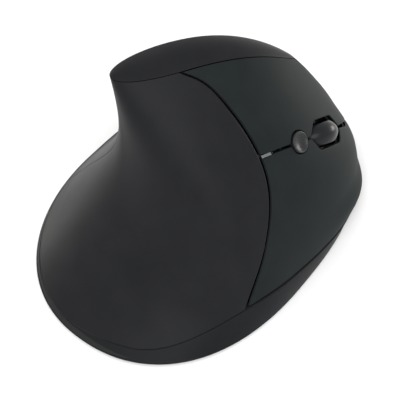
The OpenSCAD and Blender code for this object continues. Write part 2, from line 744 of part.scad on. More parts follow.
// The height of the strip's lower face at a depth, above the wheel's tangent plane, and the depth
// at which that face is just above the light
function strip_under(d) = min([for (b = [slit_start, strip_end])
    to_local(wheel_f, slit_line(b, d)).z]);
strip_depth = (strip_under(0) + board_depth - led_size.z - led_gap) / (strip_under(0) - strip_under(1));
led_x = to_local(wheel_f, slit_line(mix(slit_start, strip_end, 0.5))).x;
module indicator_strip() {
    half = strip_w / 2 / up(slit_start, slit_level(slit_start));
    end = strip_end - strip_room / slit_pace;
    tail_start = slit_start - strip_tail / slit_pace;
    function bar(b0, b1, h, depths) = [for (d = depths)
        [for (b = [b0, (b0 + b1) / 2, b1]) [for (s = [-1, 1]) form(b, slit_level(b) + s * h, d)]]];
    top = bar(slit_start, end, half, [0, strip_depth]);
    tail = bar(tail_start, mix(slit_start, end, 0.7), half * 0.8,
        [strip_tail_depth, strip_tail_depth + strip_tail_th]);
    color([0.8, 0.82, 0.82]) union() {
        skin(top[0], top[1]);
        skin(tail[0], tail[1]);
    }
}
module indicator_led() {
    color([0.9, 0.9, 0.85]) place(wheel_f)
        translate([led_x - led_size.x / 2, -led_size.y / 2, -board_depth]) cube(led_size);
}

// Under the main buttons, an inclined board carries their switches. It lies on a frame that stands
// on the base and holds the rocker between two lugs.
switch_l = 12.8;
switch_w = 5.8;
switch_tail = 9.4;
switch_gap = 0.7;
switch_y = cheek_out + seat + encoder_th + switch_gap + switch_w / 2;
// The bearing and level of the form above a point of the wheel's frame
function spot(x, y, b = wheel_bearing, t = wheel_level, n = 20) =
    let (q = to_local(wheel_f, form(b, t)))
    n == 0 ? [b, t] : spot(x, y, b + (x - q.x) / slit_pace, t + (y - q.y) / up(b, t), n - 1);
switch_spots = [for (side = [1, -1]) spot(0, side * switch_y)];
press_r = 1.5;
button_lever = 32;
press_z = -board_depth + switch_h + plunger_h + button_lever * sin(button_travel) + press_play;
frame_th = 2;
plate_top = -board_depth - board_th;
board_x = [-20, 13];
board_y = [-16.8, 16.8];
tongue_x = -29.5;
tongue_w = 8;
cutout_gap = 1;
lug_gap = 0.4;
lug_w = 2;
lug_half = 2;

module board_outline() {
    translate([board_x[0], board_y[0]]) square([board_x[1] - board_x[0], board_y[1] - board_y[0]]);
    translate([tongue_x, -tongue_w / 2]) square([board_x[0] - tongue_x + 1, tongue_w]);
}
module wheel_cutout() {
    sink = min(wheel_d / 2, board_depth + axle_z);
    half = sqrt(pow(wheel_d / 2, 2) - sink * sink) + cutout_gap;
    translate([-half, -wheel_w / 2 - cutout_gap]) square([2 * half, wheel_w + 2 * cutout_gap]);
}
module button_board() {
    color(board_green) place(wheel_f) translate([0, 0, plate_top]) linear_extrude(board_th)
        difference() {
            board_outline();
            wheel_cutout();
            for (side = [-1, 1])
                translate([rocker_x, side * (cheek_out + lug_gap + lug_w / 2)])
                    square([2 * lug_half + 2 * lug_gap, lug_w + 2 * lug_gap], center = true);
        }
}
module button_frame() {
    color(dark) union() {
        difference() {
            union() {
                place(wheel_f) translate([0, 0, plate_top - frame_th]) linear_extrude(frame_th)
                    board_outline();
                difference() {
                    desk() for (p = [leg_a, leg_b]) translate([p.x, p.y, floor_z])
                        cube([leg_size.x, leg_size.y, height]);
                    place(wheel_f) translate([-height, -height, plate_top - frame_th / 2])
                        cube(2 * height);
                }
            }
            place(wheel_f) translate([0, 0, plate_top - 2 * frame_th]) linear_extrude(3 * frame_th)
                wheel_cutout();
        }
        for (side = [-1, 1]) {
            y = side > 0 ? cheek_out + lug_gap : -cheek_out - lug_gap - lug_w;
            on_axle(y, lug_w) difference() {
                union() {
                    translate([rocker_x, 0]) circle(r = lug_half);
                    translate([rocker_x - lug_half, 0])
                        square([2 * lug_half, axle_z - plate_top + frame_th / 2]);
                }
                translate([rocker_x, 0]) circle(r = rocker_pin_r + run_fit);
            }
        }
    }
}

// A push switch, and a main button's switch
tact_w = 4.6;
plunger_r = 1.1;
module tact() {
    translate([-tact_w / 2, -tact_w / 2, 0]) cube([tact_w, tact_w, tact_h]);
    cylinder(r = plunger_r, h = tact_h + plunger_h);
}
module main_switch(k) {
    color(dark) place(wheel_f) translate([0, k == 0 ? switch_y : -switch_y, -board_depth]) union() {
        translate([-switch_tail, -switch_w / 2, 0]) cube([switch_l, switch_w, switch_h]);
        cylinder(r = plunger_r, h = switch_h + plunger_h);
    }
}
module left_switch() { main_switch(0); }
module right_switch() { main_switch(1); }
module wheel_switch() {
    color(dark) place(wheel_f) translate([paddle_x, paddle_y, -board_depth]) tact();
}
module speed_switch() {
    color(dark) place(wheel_f) translate([speed_p.x, speed_p.y, -board_depth]) tact();
}
module thumb_board() {
    color(board_green) place(thumb_f)
        translate([-thumb_board_l / 2, thumb_board_y[0], -thumb_board_depth - board_th])
        cube([thumb_board_l, thumb_board_y[1] - thumb_board_y[0], board_th]);
}
module thumb_switches() {
    color(dark) for (k = [0:1]) {
        p = to_local(thumb_f, form(thumb_keys[k][0], thumb_level));
        place(thumb_f) translate([p.x, p.y, -thumb_board_depth]) tact();
    }
}

// The base and what it holds. Its fittings are square to the desk outline.
desk_turn = mix(desk_yaw, ridge_yaw, 0.1);
floor_z = foot_h + floor_th;
// Fittings on the floor start inside it, at this level
root_z = floor_z - 0.5;
edge_chamfer = 0.5;
floor_inset = 1.5;
screw_spots = [[-62, 0.2], [-112, 0.2], [170, 0.17], [148, 0.2]];
screw_r = 1;
screw_head_r = 2;
screw_head_h = 1.4;
screw_l = 6;
boss_r = 2.8;
base_boss_z = foot_h + 4.2;
boss_z = base_boss_z + seat;
pilot_spare = 0.5;
head_gap = 0.2;
shank_gap = 0.15;
driver_l = 2.2;
driver_w = 0.5;
driver_depth = 0.7;

module desk() { rotate([0, 0, desk_turn]) children(); }
function screw_at(k) = form(screw_spots[k][0], screw_spots[k][1], wall / 2);
module at_screw(k, z) { translate([screw_at(k).x, screw_at(k).y, z]) children(); }
module pilot_hole(k) {
    at_screw(k, floor_z) cylinder(r = screw_r + press_fit, h = screw_l + pilot_spare);
}
module screws() {
    color(metal) for (k = [0:3]) at_screw(k, floor_z) difference() {
        union() {
            translate([0, 0, -screw_head_h]) cylinder(r = screw_head_r, h = screw_head_h);
            cylinder(r = screw_r, h = screw_l);
        }
        for (a = [0, 90]) rotate([0, 0, a])
            translate([-driver_l / 2, -driver_w / 2, -screw_head_h - 1])
            cube([driver_l, driver_w, 1 + driver_depth]);
    }
}

bay_at = [2.5, -14.4];
contact_th = 0.5;
spring_l = 3;
cell_play = 0.2;
cell_side = 0.5;
bay_l = cell_l + spring_l + 2 * contact_th + 2 * cell_play;
cell_pitch = cell_d + cell_side;
bay_w = cell_d + cell_pitch + cell_side;
bay_wall = 2.4;
bay_roof = 1.5;
cell_room = 0.3;
cell_z = floor_z + cell_room + cell_d / 2;
bay_top = cell_z + cell_d / 2 + cell_room;
door_ledge = 1;
door_gap = 0.25;
door_l = bay_l + 2 * door_ledge;
door_w = bay_w + 2 * door_ledge;
door_z = foot_h + seat;
door_axis = [bay_at.x, bay_at.y - door_w / 2 + door_th / 2, door_z + door_th / 2];
hinge_stub_r = 0.5;
hinge_stub = 1.2;
door_grooves = 3;
groove_l = 12;
groove_w = 0.8;
groove_pitch = 1.6;
groove_depth = 0.4;

receiver_at = [-8, 40];
receiver_gap = 0.3;
receiver_z = foot_h + receiver_gap;
trough_wall = 1.5;
trough_top = receiver_z + receiver_h + receiver_gap;

lens_th = 1.8;
lens_plate = [20, 16];
lens_foot = [9.6, 7.6];
lens_gap = 0.2;
lens_rise = 0.6;
chip_size = [11, 10];
chip_h = 2.2;
board_z = floor_z + lens_th + chip_h;
main_board_size = [46, 18];
board_gap = 0.6;
main_board_at = [2, bay_at.y + bay_w / 2 + bay_wall + board_gap + main_board_size.y / 2];
sensor_at = [0, main_board_at.y];
leg_a = [20, main_board_at.y + main_board_size.y / 2 + board_gap];
leg_b = [4.5, 27];
leg_size = [6, 10];
peg_r = 1;
peg_shoulder = 1.2;
peg_spare = 1;
peg_inset = [4, 2.5];
peg_reach = main_board_size / 2 - peg_inset;
pegs = [[-peg_reach.x, -peg_reach.y], [-peg_reach.x, peg_reach.y],
    [peg_reach.x + peg_inset.x / 2, peg_reach.y]];
power_inset = 8;
power_at = [main_board_at.x + main_board_size.x / 2 - power_inset, 5];
knob_l = 3.8;
knob_w = 2.8;
slot_gap = 0.2;
slider_rim = 1.5;
slider_th = 0.9;
ridge_w = 0.5;
ridge_pitch = 1.1;
power_body = [9.5, 4.6];

module tray() {
    ring = [for (b = [0:5:355]) b];
    rim = function(b) above(function(k) lip(k), b, -shell_gap / 2);
    loft([
        [for (b = ring) form(b, 0, edge_chamfer)],
        [for (b = ring) form(b, 0) + [0, 0, edge_chamfer]],
        [for (b = ring) form(b, rim(b) / 2)],
        [for (b = ring) form(b, rim(b))],
        [for (b = ring) form(b, rim(b), wall)],
        [for (b = ring) let (p = form(b, floor_th / rise, wall + floor_inset)) [p.x, p.y, floor_z]]
    ]);
}
module box(at, size, z0, z1) {
    translate([at.x - size.x / 2, at.y - size.y / 2, z0]) cube([size.x, size.y, z1 - z0]);
}
module base_shell() {
    bay = [bay_l, bay_w];
    trough = [receiver_l, receiver_w];
    wide = [1, 1];
    color(plastic) difference() {
        union() {
            tray();
            desk() {
                box(bay_at, bay + 2 * bay_wall * wide, root_z, bay_top + bay_roof);
                box(receiver_at, trough + 2 * (receiver_gap + trough_wall) * wide,
                    root_z, trough_top + trough_wall);
                for (p = pegs) translate([main_board_at.x + p.x, main_board_at.y + p.y, root_z]) {
                    cylinder(r = peg_r + peg_shoulder, h = board_z - root_z);
                    cylinder(r = peg_r, h = board_z + board_th + peg_spare - root_z);
                }
            }
            for (k = [0:3]) at_screw(k, root_z) cylinder(r = boss_r + 1, h = base_boss_z - root_z);
        }
        desk() {
            box(bay_at, bay, foot_h - 1, bay_top);
            box(bay_at, [door_l, door_w] + 2 * door_gap * wide, foot_h - 1, floor_z);
            translate([bay_at.x - door_l / 2 - door_gap - hinge_stub, door_axis.y, door_axis.z])
                rotate([0, 90, 0])
                cylinder(r = hinge_stub_r + run_fit, h = door_l + 2 * (door_gap + hinge_stub));
            box(receiver_at, trough + 2 * receiver_gap * wide, foot_h - 1, trough_top);
            box(sensor_at, lens_foot + 2 * lens_gap * wide, foot_h - 1, floor_z + 1);
            box(power_at + [power_travel / 2, 0],
                [knob_l + power_travel, knob_w] + 2 * slot_gap * wide, foot_h - 1, floor_z + 1);
        }
        for (k = [0:3]) {
            at_screw(k, foot_h - 1) cylinder(r = screw_head_r + head_gap, h = floor_z - foot_h + 1);
            at_screw(k, foot_h) cylinder(r = screw_r + shank_gap, h = base_boss_z);
        }
    }
}
foot_bearings = [-62, -125, 48, 126];
foot_inset = 3;
module feet() {
    color([0.2, 0.2, 0.21]) for (b = foot_bearings) {
        p = form(b, 0, foot_w / 2 + foot_inset);
        q = form(b + 1, 0, foot_w / 2 + foot_inset);
        translate([p.x, p.y, 0]) rotate([0, 0, atan2(q.y - p.y, q.x - p.x)]) linear_extrude(foot_h) {
            square([foot_l - foot_w, foot_w], center = true);
            for (s = [-1, 1]) translate([s * (foot_l - foot_w) / 2, 0]) circle(d = foot_w);
        }
    }
}
cell_edge = 0.4;
nub_r = 1.9;
nub_l = 1;
module battery_cells() {
    color([0.25, 0.4, 0.3]) desk() for (k = [0, 1])
        translate([bay_at.x, bay_at.y + (k - 0.5) * cell_pitch, cell_z])
        rotate([0, k == 0 ? 90 : -90, 0])
        translate([0, 0, bay_l / 2 - contact_th - cell_play - cell_l]) rotate_extrude()
        polygon([[0, 0], [cell_d / 2 - cell_edge, 0], [cell_d / 2, cell_edge],
            [cell_d / 2, cell_l - nub_l - cell_edge], [cell_d / 2 - cell_edge, cell_l - nub_l],
            [nub_r, cell_l - nub_l], [nub_r, cell_l], [0, cell_l]]);
}
wire_r = 0.3;
module spring(turns = 2.5, r0 = 3.6, r1 = 2.2, sides = 6, per_turn = 12) {
    n = turns * per_turn;
    rings = [for (i = [0:n])
        let (a = 360 * i / per_turn, r = mix(r0, r1, i / n),
             z = mix(wire_r + 0.02, spring_l - wire_r - 0.02, i / n))
        [for (k = [0:sides - 1])
            let (w = -360 * k / sides, rr = r + wire_r * cos(w))
            [rr * cos(a), rr * sin(a), z + wire_r * sin(w)]]];
    loft(rings);
}
contact_w = 8;
contact_gap = 0.02;
module contact_plate() {
    translate([-contact_w / 2, -contact_w / 2, 0]) cube([contact_w, contact_w, contact_th - contact_gap]);
}
module battery_contacts() {
    color(metal) desk() for (k = [0, 1]) {
        y = bay_at.y + (k - 0.5) * cell_pitch;
        side = k == 0 ? 1 : -1;
        translate([bay_at.x, y, cell_z]) rotate([0, side * 90, 0]) {
            translate([0, 0, -bay_l / 2 + contact_gap]) contact_plate();
            translate([0, 0, -bay_l / 2 + contact_th]) spring();
            translate([0, 0, bay_l / 2 - contact_th]) contact_plate();
        }
    }
}
module battery_door() {
    color(plastic) desk() difference() {
        union() {
            translate([bay_at.x - door_l / 2, door_axis.y, door_z])
                cube([door_l, door_w - door_th / 2, door_th]);
            translate([bay_at.x - door_l / 2, door_axis.y, door_axis.z]) rotate([0, 90, 0])
                cylinder(r = door_th / 2, h = door_l);
            translate([bay_at.x - door_l / 2 - hinge_stub, door_axis.y, door_axis.z]) rotate([0, 90, 0])
                cylinder(r = hinge_stub_r, h = door_l + 2 * hinge_stub);
        }
        for (k = [0:door_grooves - 1])
            translate([bay_at.x - groove_l / 2, bay_at.y + door_w / 2 - groove_pitch * (k + 2), 0])
            cube([groove_l, groove_w, door_z + groove_depth]);
    }
}
module power_slider() {
    color(dark) desk() difference() {
        union() {
            box(power_at, [knob_l, knob_w], foot_h + seat, floor_z + slider_th / 2);
            box(power_at, [knob_l + 2 * slider_rim, knob_w + slider_rim],
                floor_z + seat, floor_z + seat + slider_th);
        }
        for (k = [-1:1])
            box(power_at + [k * ridge_pitch, 0], [ridge_w, knob_w + 1], 0, foot_h + seat + ridge_w);
    }
}
module power_switch() {
    color(metal) desk() box(power_at + [power_travel / 2, 0], power_body,
        floor_z + slider_th + 2 * seat, board_z);
}
module main_board() {
    color(board_green) desk() difference() {
        box(main_board_at, main_board_size, board_z, board_z + board_th);
        for (p = pegs) translate([main_board_at.x + p.x, main_board_at.y + p.y, 0])
            cylinder(r = peg_r + run_fit, h = board_z + board_th + 1);
    }
}
module sensor_chip() {
    color(dark) desk() box(sensor_at, chip_size, floor_z + lens_th, board_z);
}
module sensor_lens() {
    color([0.8, 0.85, 0.9]) desk() union() {
        box(sensor_at, lens_plate, floor_z, floor_z + lens_th);
        box(sensor_at, lens_foot, foot_h + lens_rise, floor_z + lens_th / 2);
    }
}
plug = [12, 12, 4.5];
plug_wall = 0.3;
plug_back = 2;
plug_tongue = 0.2;
grip_l = receiver_l - plug.x;
receiver_mid = receiver_z + receiver_h / 2;
module receiver_grip() {
    color(dark) desk() translate([receiver_at.x + receiver_l / 2 - grip_l, receiver_at.y, receiver_mid])
        rotate([0, 90, 0]) linear_extrude(grip_l) {
            r = receiver_h / 2;
            square([receiver_h, receiver_w - receiver_h], center = true);
            for (s = [-1, 1]) translate([0, s * (receiver_w / 2 - r)]) circle(r = r);
        }
}
module receiver_plug() {
    x = receiver_at.x - receiver_l / 2;
    color(metal) desk() union() {
        difference() {
            box([x + plug.x / 2, receiver_at.y], [plug.x, plug.y],
                receiver_mid - plug.z / 2, receiver_mid + plug.z / 2);
            box([x + plug.x / 2 - plug_back, receiver_at.y], [plug.x, plug.y - 2 * plug_wall],
                receiver_mid - plug.z / 2 + plug_wall, receiver_mid + plug.z / 2 - plug_wall);
        }
        box([x + plug.x / 2, receiver_at.y], [plug.x - plug_wall, plug.y - 4 * plug_wall],
            receiver_mid + plug_tongue, receiver_mid + plug.z / 2 - 2 * plug_wall);
    }
}

base_shell();
palm_panel();
thumb_shell();
ridge_cap();
left_button();
right_button();
wheel_hub();
wheel_tyre();
wheel_axle();
wheel_rocker();
wheel_encoder();
speed_button();
forward_button();
back_button();
indicator_strip();
indicator_led();
button_frame();
button_board();
left_switch();
right_switch();
wheel_switch();
speed_switch();
thumb_board();
thumb_switches();
main_board();
sensor_chip();
sensor_lens();
battery_cells();
battery_contacts();
battery_door();
power_slider();
power_switch();
receiver_grip();
receiver_plug();
feet();
screws();
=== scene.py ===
# %% [markdown]
# This lesson dresses a vertical mouse. The hand rests on it as in a handshake, so the body is a
# twisted form: wide at the desk, narrow at the ridge, and turned a little between the two. The CAD
# parts come in first as a fixed frame, and the new pieces are laid over the solids they stand for.

import bpy
import numpy as np
from mathutils import Matrix, Vector


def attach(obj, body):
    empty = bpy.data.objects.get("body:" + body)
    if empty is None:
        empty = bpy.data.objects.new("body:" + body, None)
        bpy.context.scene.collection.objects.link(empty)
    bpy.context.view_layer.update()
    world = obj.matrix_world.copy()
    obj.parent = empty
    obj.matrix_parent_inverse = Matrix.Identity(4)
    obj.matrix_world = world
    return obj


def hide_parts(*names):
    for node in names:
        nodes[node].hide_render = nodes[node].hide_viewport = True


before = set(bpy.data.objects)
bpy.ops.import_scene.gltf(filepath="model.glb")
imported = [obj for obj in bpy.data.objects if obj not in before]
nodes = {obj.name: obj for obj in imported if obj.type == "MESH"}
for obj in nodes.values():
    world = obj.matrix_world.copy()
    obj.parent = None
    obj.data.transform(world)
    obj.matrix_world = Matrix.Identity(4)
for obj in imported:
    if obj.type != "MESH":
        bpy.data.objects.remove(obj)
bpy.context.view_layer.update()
print("CAD nodes:", len(nodes))

# %% [markdown]
# All the moulded shells of the mouse are cut from one smooth form, so the form is written once, as
# a function of a bearing around the body and a level up it. It could be sculpted, but a formula
# keeps the shells in line with each other, and gives as fine a mesh as the light asks for. A few
# small curves come first, because every later formula is built from them.

# %% Small curves
MM = 0.001


def mix(a, b, k):
    """a at share 0, b at share 1."""
    return a + (b - a) * k


def smooth(k):
    """A share that starts and stops gently: three k squared less two k cubed."""
    return k * k * (3 - 2 * k)


def hold(k, low=0.0, high=1.0):
    """A number held between two limits."""
    return np.minimum(np.maximum(k, low), high)


def ramp(u, start, stop):
    """0 before start, 1 after stop, smooth between."""
    return smooth(hold((u - start) / (stop - start)))


def bell(k):
    """A bump of height 1 that is 0 beyond k = 1: the square of the cosine of k quarter turns."""
    return np.cos(np.pi / 2 * hold(np.abs(k))) ** 2


print("a bell is", bell(np.array([0, 0.5, 1])).round(2), "at 0, 0.5 and 1")

# %% The body form
foot_h, ridge_h = 0.7, 68
rise = ridge_h - foot_h
peak_y, fall_span, front_fall, rear_fall = 1, 50, 25.6, 4
nose_reach, nose_level, nose_square, plain_square = 64.5, 0.44, 2.75, 2.1
foot_mid, ridge_mid, mid_y = -1.5, -14.5, -0.5
foot_turn, ridge_turn = 15.5, -14.5


def drop(y):
    """How far the ridge line falls at y: a power of the way from its peak, steeper ahead than behind."""
    k = (y - peak_y) / fall_span
    return np.where(k > 0, front_fall * np.abs(k) ** 2.4, rear_fall * k * k)


def fore(t):
    """The reach towards the nose: longest below half way up, drawn in above and below, full at the brow."""
    higher = hold(t - nose_level, 0) / (1 - nose_level)
    lower = hold(nose_level - t, 0) / nose_level
    brow = 0.9 * bell((t - 0.84) / 0.14) - 1.3 * hold((t - 0.92) / 0.08) ** 2
    return nose_reach - 23 * higher**2.1 - 2.5 * lower**2 + brow


def aft(t):
    """The reach towards the heel at a level: it flares out like a bell near the desk."""
    return 17 + 40 * (1 - t) ** 3 + 3.5 * t**3.6


def signed(b):
    """A bearing between -180 and 180 degrees: what is left of it beyond whole turns."""
    return np.mod(b + 180, 360) - 180


def wave(b, height, mid, wide):
    """A bell of a height about a bearing."""
    return height * bell(signed(b - mid) / wide)


# The right button, the base under the seam, and the heel: a wave round the body, then its level and reach
swellings = ((1.6, 39, 24, 0.16, 0.15), (1.2, -48, 45, 0, 0.2), (0.42, 235, 105, 0, 0.09))


def cheek(b, t):
    """Three small swellings: each a wave round the body times a bell of the level."""
    return sum(wave(b, *part) * bell((t - level) / tall) for *part, level, tall in swellings)


def raw_form(bearing, level, depth=0.0):
    """A squared oval whose four reaches, squareness and turn all change with the level.

    The reach along a bearing is (|cos|^n + |sin|^n)^(-1/n). A depth shortens every reach.
    """
    b, t = np.broadcast_arrays(np.radians(np.asarray(bearing, float)), np.asarray(level, float))
    c, s = np.cos(b), np.sin(b)
    palm = -8 + 51 * (1 - t**1.8)
    thumb = -(17 + 30 * (1 - t) ** 1.6 + 4 * t**4)
    square = mix(plain_square, nose_square, smooth(hold((1 - t) / (1 - nose_level))))
    n = np.where(s > 0, square, plain_square)
    reach = (np.abs(c) ** n + np.abs(s) ** n) ** (-1 / n)
    mid_x = mix(foot_mid, ridge_mid, t)
    inset = depth - cheek(np.degrees(b), t)
    x = mid_x + (np.where(c > 0, palm - mid_x, mid_x - thumb) - inset) * reach * c
    y = mid_y + (np.where(s > 0, fore(t), aft(t)) - inset) * reach * s
    yaw = np.radians(mix(foot_turn, ridge_turn, t))
    fx = x * np.cos(yaw) - y * np.sin(yaw)
    fy = x * np.sin(yaw) + y * np.cos(yaw)
    z = foot_h + (rise - depth) * t * (1 - drop(fy) / rise)
    return np.stack([fx, fy, z], -1)


corner = raw_form(np.arange(0, 360, 3), np.linspace(0, 1, 13)[:, None]).reshape(-1, 3)
middle = np.append((corner.min(0) + corner.max(0))[:2] / 2, 0)


def form(bearing, level, depth=0.0):
    """The body form in millimetres, about the middle of the footprint."""
    return raw_form(bearing, level, depth) - middle


print("form reaches", (corner.max(0) - corner.min(0)).round(1), "mm")

# %% [markdown]
# The parting lines between the shells are drawn on the form as well. To leave an even gap beside a
# line, it helps to know how many millimetres a degree of bearing or a step of level is worth at
# each spot, and which way the surface faces there. Small differences of the form give all three.

# %% Measures on the form
turn_step, level_step = 0.5, 0.005


def size(v):
    """The length of each vector."""
    return np.linalg.norm(v, axis=-1)


def unit(v):
    """Each vector at length 1."""
    return v / size(v)[..., None]


def sweep(b, t):
    """The step of the form per degree of bearing: a small difference over its width."""
    return (form(b + turn_step, t) - form(b - turn_step, t)) / (2 * turn_step)


def climb(b, t):
    """The step of the form per unit of level, kept clear of the ends."""
    k = hold(t, 0.006, 0.99)
    return (form(b, k + level_step) - form(b, k - level_step)) / (2 * level_step)


def along(b, t):
    """Millimetres per degree of bearing."""
    return size(sweep(b, t))


def up(b, t):
    """Millimetres per unit of level."""
    return size(climb(b, t))


def frame_at(b, t):
    """Place, tangent along the bearing, tangent up the form, and outward normal."""
    x = unit(sweep(b, t))
    z = unit(np.cross(x, climb(b, t)))
    return form(b, t), x, np.cross(z, x), z


def beside(edge, t, gap):
    """A line given as bearing of level, moved sideways by a gap: the gap over the cosine of its slope."""
    b = edge(t)
    lean = (edge(t + 2 * level_step) - edge(t - 2 * level_step)) / (4 * level_step)
    slope = lean * along(b, t) / up(b, t)
    return b + gap * np.sqrt(1 + slope**2) / along(b, t)


def above(level, b, gap):
    """A line given as level of bearing, moved up by a gap."""
    return level(b) + gap / up(b, np.maximum(0.01, level(b)))


def meet(edge, level):
    """The level where an edge crosses a level line, by stepping from one to the other."""
    t = 0.5
    for _ in range(20):
        t = level(edge(t))
    return t


print("at the palm a degree is %.2f mm, the whole climb %.0f mm" % (along(0, 0.3), up(0, 0.3)))

# %% [markdown]
# The real mouse shows two kinds of line. Between fixed shells there is a hair or little more, because
# the parts are snapped tight. Round the main buttons there is a soft dark groove, because they move.
# Each line is a function, bearing of level or level of bearing, and each shell asks for its side.

# %% The parting lines
hair, shell_gap, button_gap = 0.16, 0.4, 0.7
seam_most, seam_most_level, seam_bend, seam_slant, seam_back = 13.0, 0.735, 98, 68, 8
side_line, heel_bearing, neck_bearing, nose_bearing = 0.3708, -166.0, -92.0, 90.0
lip_low, heel_dip, palm_wave, nose_wave = 2.8, 1.2, (7.6, -11.0, 58), (1.5, 70.0, 60)


def seam(t):
    """The curved seam between the palm panel and the main buttons.

    A parabola in level, straight below the side line, where a degree is worth less, so the bearing
    is stretched by the two reaches' ratio. Near the ridge it turns back along the ridge cap's edge.
    """
    curve = seam_bend * (np.maximum(t, side_line) - seam_most_level) ** 2
    q = seam_most - curve - seam_slant * hold(side_line - t, 0)
    return np.where(q < 0, q * fore(t) / aft(t), q) - seam_back * hold((t - 0.85) / 0.15) ** 5


def rear_seam(t):
    """The seam behind the neck, from the heel to the ridge: a smooth step."""
    return mix(heel_bearing, neck_bearing, smooth(t))


def lip(b):
    """The level of the base's edge: two waves, under the palm and the nose, less a dip at the heel."""
    turn = np.mod(b, 360)
    dip = heel_dip * ramp(turn, 150, 185) * ramp(turn, 298, 252)
    z = lip_low - dip + wave(b, *palm_wave) + wave(b, *nose_wave)
    return (z - foot_h) / (rise - drop(raw_form(b, 0.05)[..., 1]))


def nose(t):
    """The line down the nose where the buttons end: one bearing."""
    return nose_bearing + 0 * t


print("lip under the palm at level %.3f, at the heel %.3f" % (lip(palm_wave[1]), lip(heel_bearing)))

# %% The two sides of each line
lip_room, ridge_room, ridge_near = 0.42, 0.2, 0.98


def lip_top(b):
    """The lower edge of the fixed shells: the lip moved up by half a hair."""
    return above(lip, b, hair / 2)


def button_lip(b):
    """The lower edge of the right button: the lip moved up by its own gap."""
    return above(lip, b, lip_room)


def ridge_line(b):
    """The upper edge of the fixed shells, half a hair below the ridge."""
    return 1 - hair / 2 / up(b, ridge_near)


def button_ridge(b):
    """The upper edge of the left button, which needs room to move."""
    return 1 - ridge_room / up(b, ridge_near)


def seam_half(t):
    """Half the seam's gap, which narrows towards the ridge."""
    return button_gap / 2 * (1 - 0.6 * ramp(t, 0.82, ridge_near))


def seam_out(t):
    """The buttons' side of the seam."""
    return beside(seam, t, seam_half(t))


def seam_in(t):
    """The palm panel's side of the seam."""
    return beside(seam, t, -seam_half(t))


def button_nose(t):
    """The buttons' front edge, a whole gap short of the nose line."""
    return beside(nose, t, -button_gap)


def nose_rim(t):
    """The thumb wall's front edge."""
    return beside(nose, t, shell_gap / 2)


def rear_in(t):
    """The palm panel's rear edge."""
    return beside(rear_seam, t, hair / 2)


def rear_rim(t):
    """The thumb wall's rear edge, counted on past half a turn."""
    return beside(rear_seam, t, -hair / 2) + 360


print("seam meets the ridge at level %.3f" % meet(seam_in, ridge_line))

# %% [markdown]
# A mesh is only points and faces. Putting whole arrays in with foreach_set is quick even for a fine
# grid, and keeps each piece's shape in its formula. Two kinds of closed grid serve for nearly all
# of the mouse: a sheet with a wall round its border, and a ring that closes both ways.

# %% Points into a mesh
def quads(rows, cols, start=0, flip=False):
    """The faces of a grid of rows by cols points, each the corners of one cell."""
    i, j = np.meshgrid(np.arange(rows - 1), np.arange(cols - 1), indexing="ij")
    a = (i * cols + j).ravel() + start
    f = np.stack([a, a + cols, a + cols + 1, a + 1], -1)
    return f[:, ::-1] if flip else f


def ring_quads(rows, cols, loop=True):
    """The faces of a grid that closes along its rows, and along its columns too where loop is set."""
    i, j = np.meshgrid(np.arange(rows if loop else rows - 1), np.arange(cols), indexing="ij")
    i2, j2 = (i + 1) % rows, (j + 1) % cols
    return np.stack([i * cols + j, i2 * cols + j, i2 * cols + j2, i * cols + j2], -1).reshape(-1, 4)


def put_mesh(name, points, faces, edge_wear_and_highlight=None, caps=(), normals=None):
    """A mesh object from points in millimetres, four-cornered faces, and a few flat end caps.

    Where normals are given they come from the formula; a zero leaves the mesh's own.
    """
    counts = np.array([4] * len(faces) + [len(c) for c in caps])
    loops = np.concatenate([faces.ravel(), *caps]).astype(np.int32)
    mesh = bpy.data.meshes.new(name)
    mesh.vertices.add(len(points))
    mesh.vertices.foreach_set("co", (points * MM).astype(np.float32).ravel())
    mesh.loops.add(len(loops))
    mesh.loops.foreach_set("vertex_index", loops)
    mesh.polygons.add(len(counts))
    mesh.polygons.foreach_set("loop_start", (np.cumsum(counts) - counts).astype(np.int32))
    mesh.polygons.foreach_set("use_smooth", counts == 4)
    mesh.update(calc_edges=True)
    mesh.validate()
    if edge_wear_and_highlight is not None:
        # The edge share lowers the roughness along the edges and also places the painted highlight there.
        edge = mesh.attributes.new("edge", "FLOAT", "POINT")
        edge.data.foreach_set("value", edge_wear_and_highlight.astype(np.float32).ravel())
    if normals is not None:
        mesh.normals_split_custom_set_from_vertices(normals.astype(np.float32))
    piece = bpy.data.objects.new(name, mesh)
    bpy.context.scene.collection.objects.link(piece)
    return piece


def closed_sheet(name, outer, inner, edge_wear_and_highlight=None, normals=None):
    """A solid between two grids, with a wall round the border. The edge share, for wear and a painted
    highlight, and the normals are for the outer one.
    """
    rows, cols = outer.shape[:2]
    n = rows * cols
    ids = np.arange(n).reshape(rows, cols)
    rim = np.concatenate([ids[:-1, 0], ids[-1, :-1], ids[:0:-1, -1], ids[0, :0:-1]])
    after = np.roll(rim, -1)
    wall_faces = np.stack([after, after + n, rim + n, rim], -1)
    faces = np.concatenate([quads(rows, cols), quads(rows, cols, n, True), wall_faces])
    points = np.stack([outer, inner]).reshape(-1, 3)
    if edge_wear_and_highlight is not None:
        edge_wear_and_highlight = np.stack([edge_wear_and_highlight, 0 * edge_wear_and_highlight])
    if normals is not None:
        normals = np.stack([normals, 0 * normals]).reshape(-1, 3)
    return put_mesh(name, points, faces, edge_wear_and_highlight, normals=normals)


def on_body(piece, body, slot, *replaced):
    """The piece rides on a body and stands for the solids it covers. The slot is not used."""
    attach(piece, body)
    if replaced:
        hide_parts(*replaced)
    print(piece.name, len(piece.data.polygons), "faces")


print("a grid of 4 by 5 points has", len(quads(4, 5)), "faces, a closed one", len(ring_quads(4, 5)))

# %% [markdown]
# A moulded shell is a patch between four parting lines, with a wall behind it and edges that the
# mould rounds. It could be a plane with Solidify and Bevel. Here the patch is a grid whose lines
# crowd together near the border, and those lines sink along a quarter circle, so the rounded edge
# is part of the same smooth sheet and takes a clean highlight.

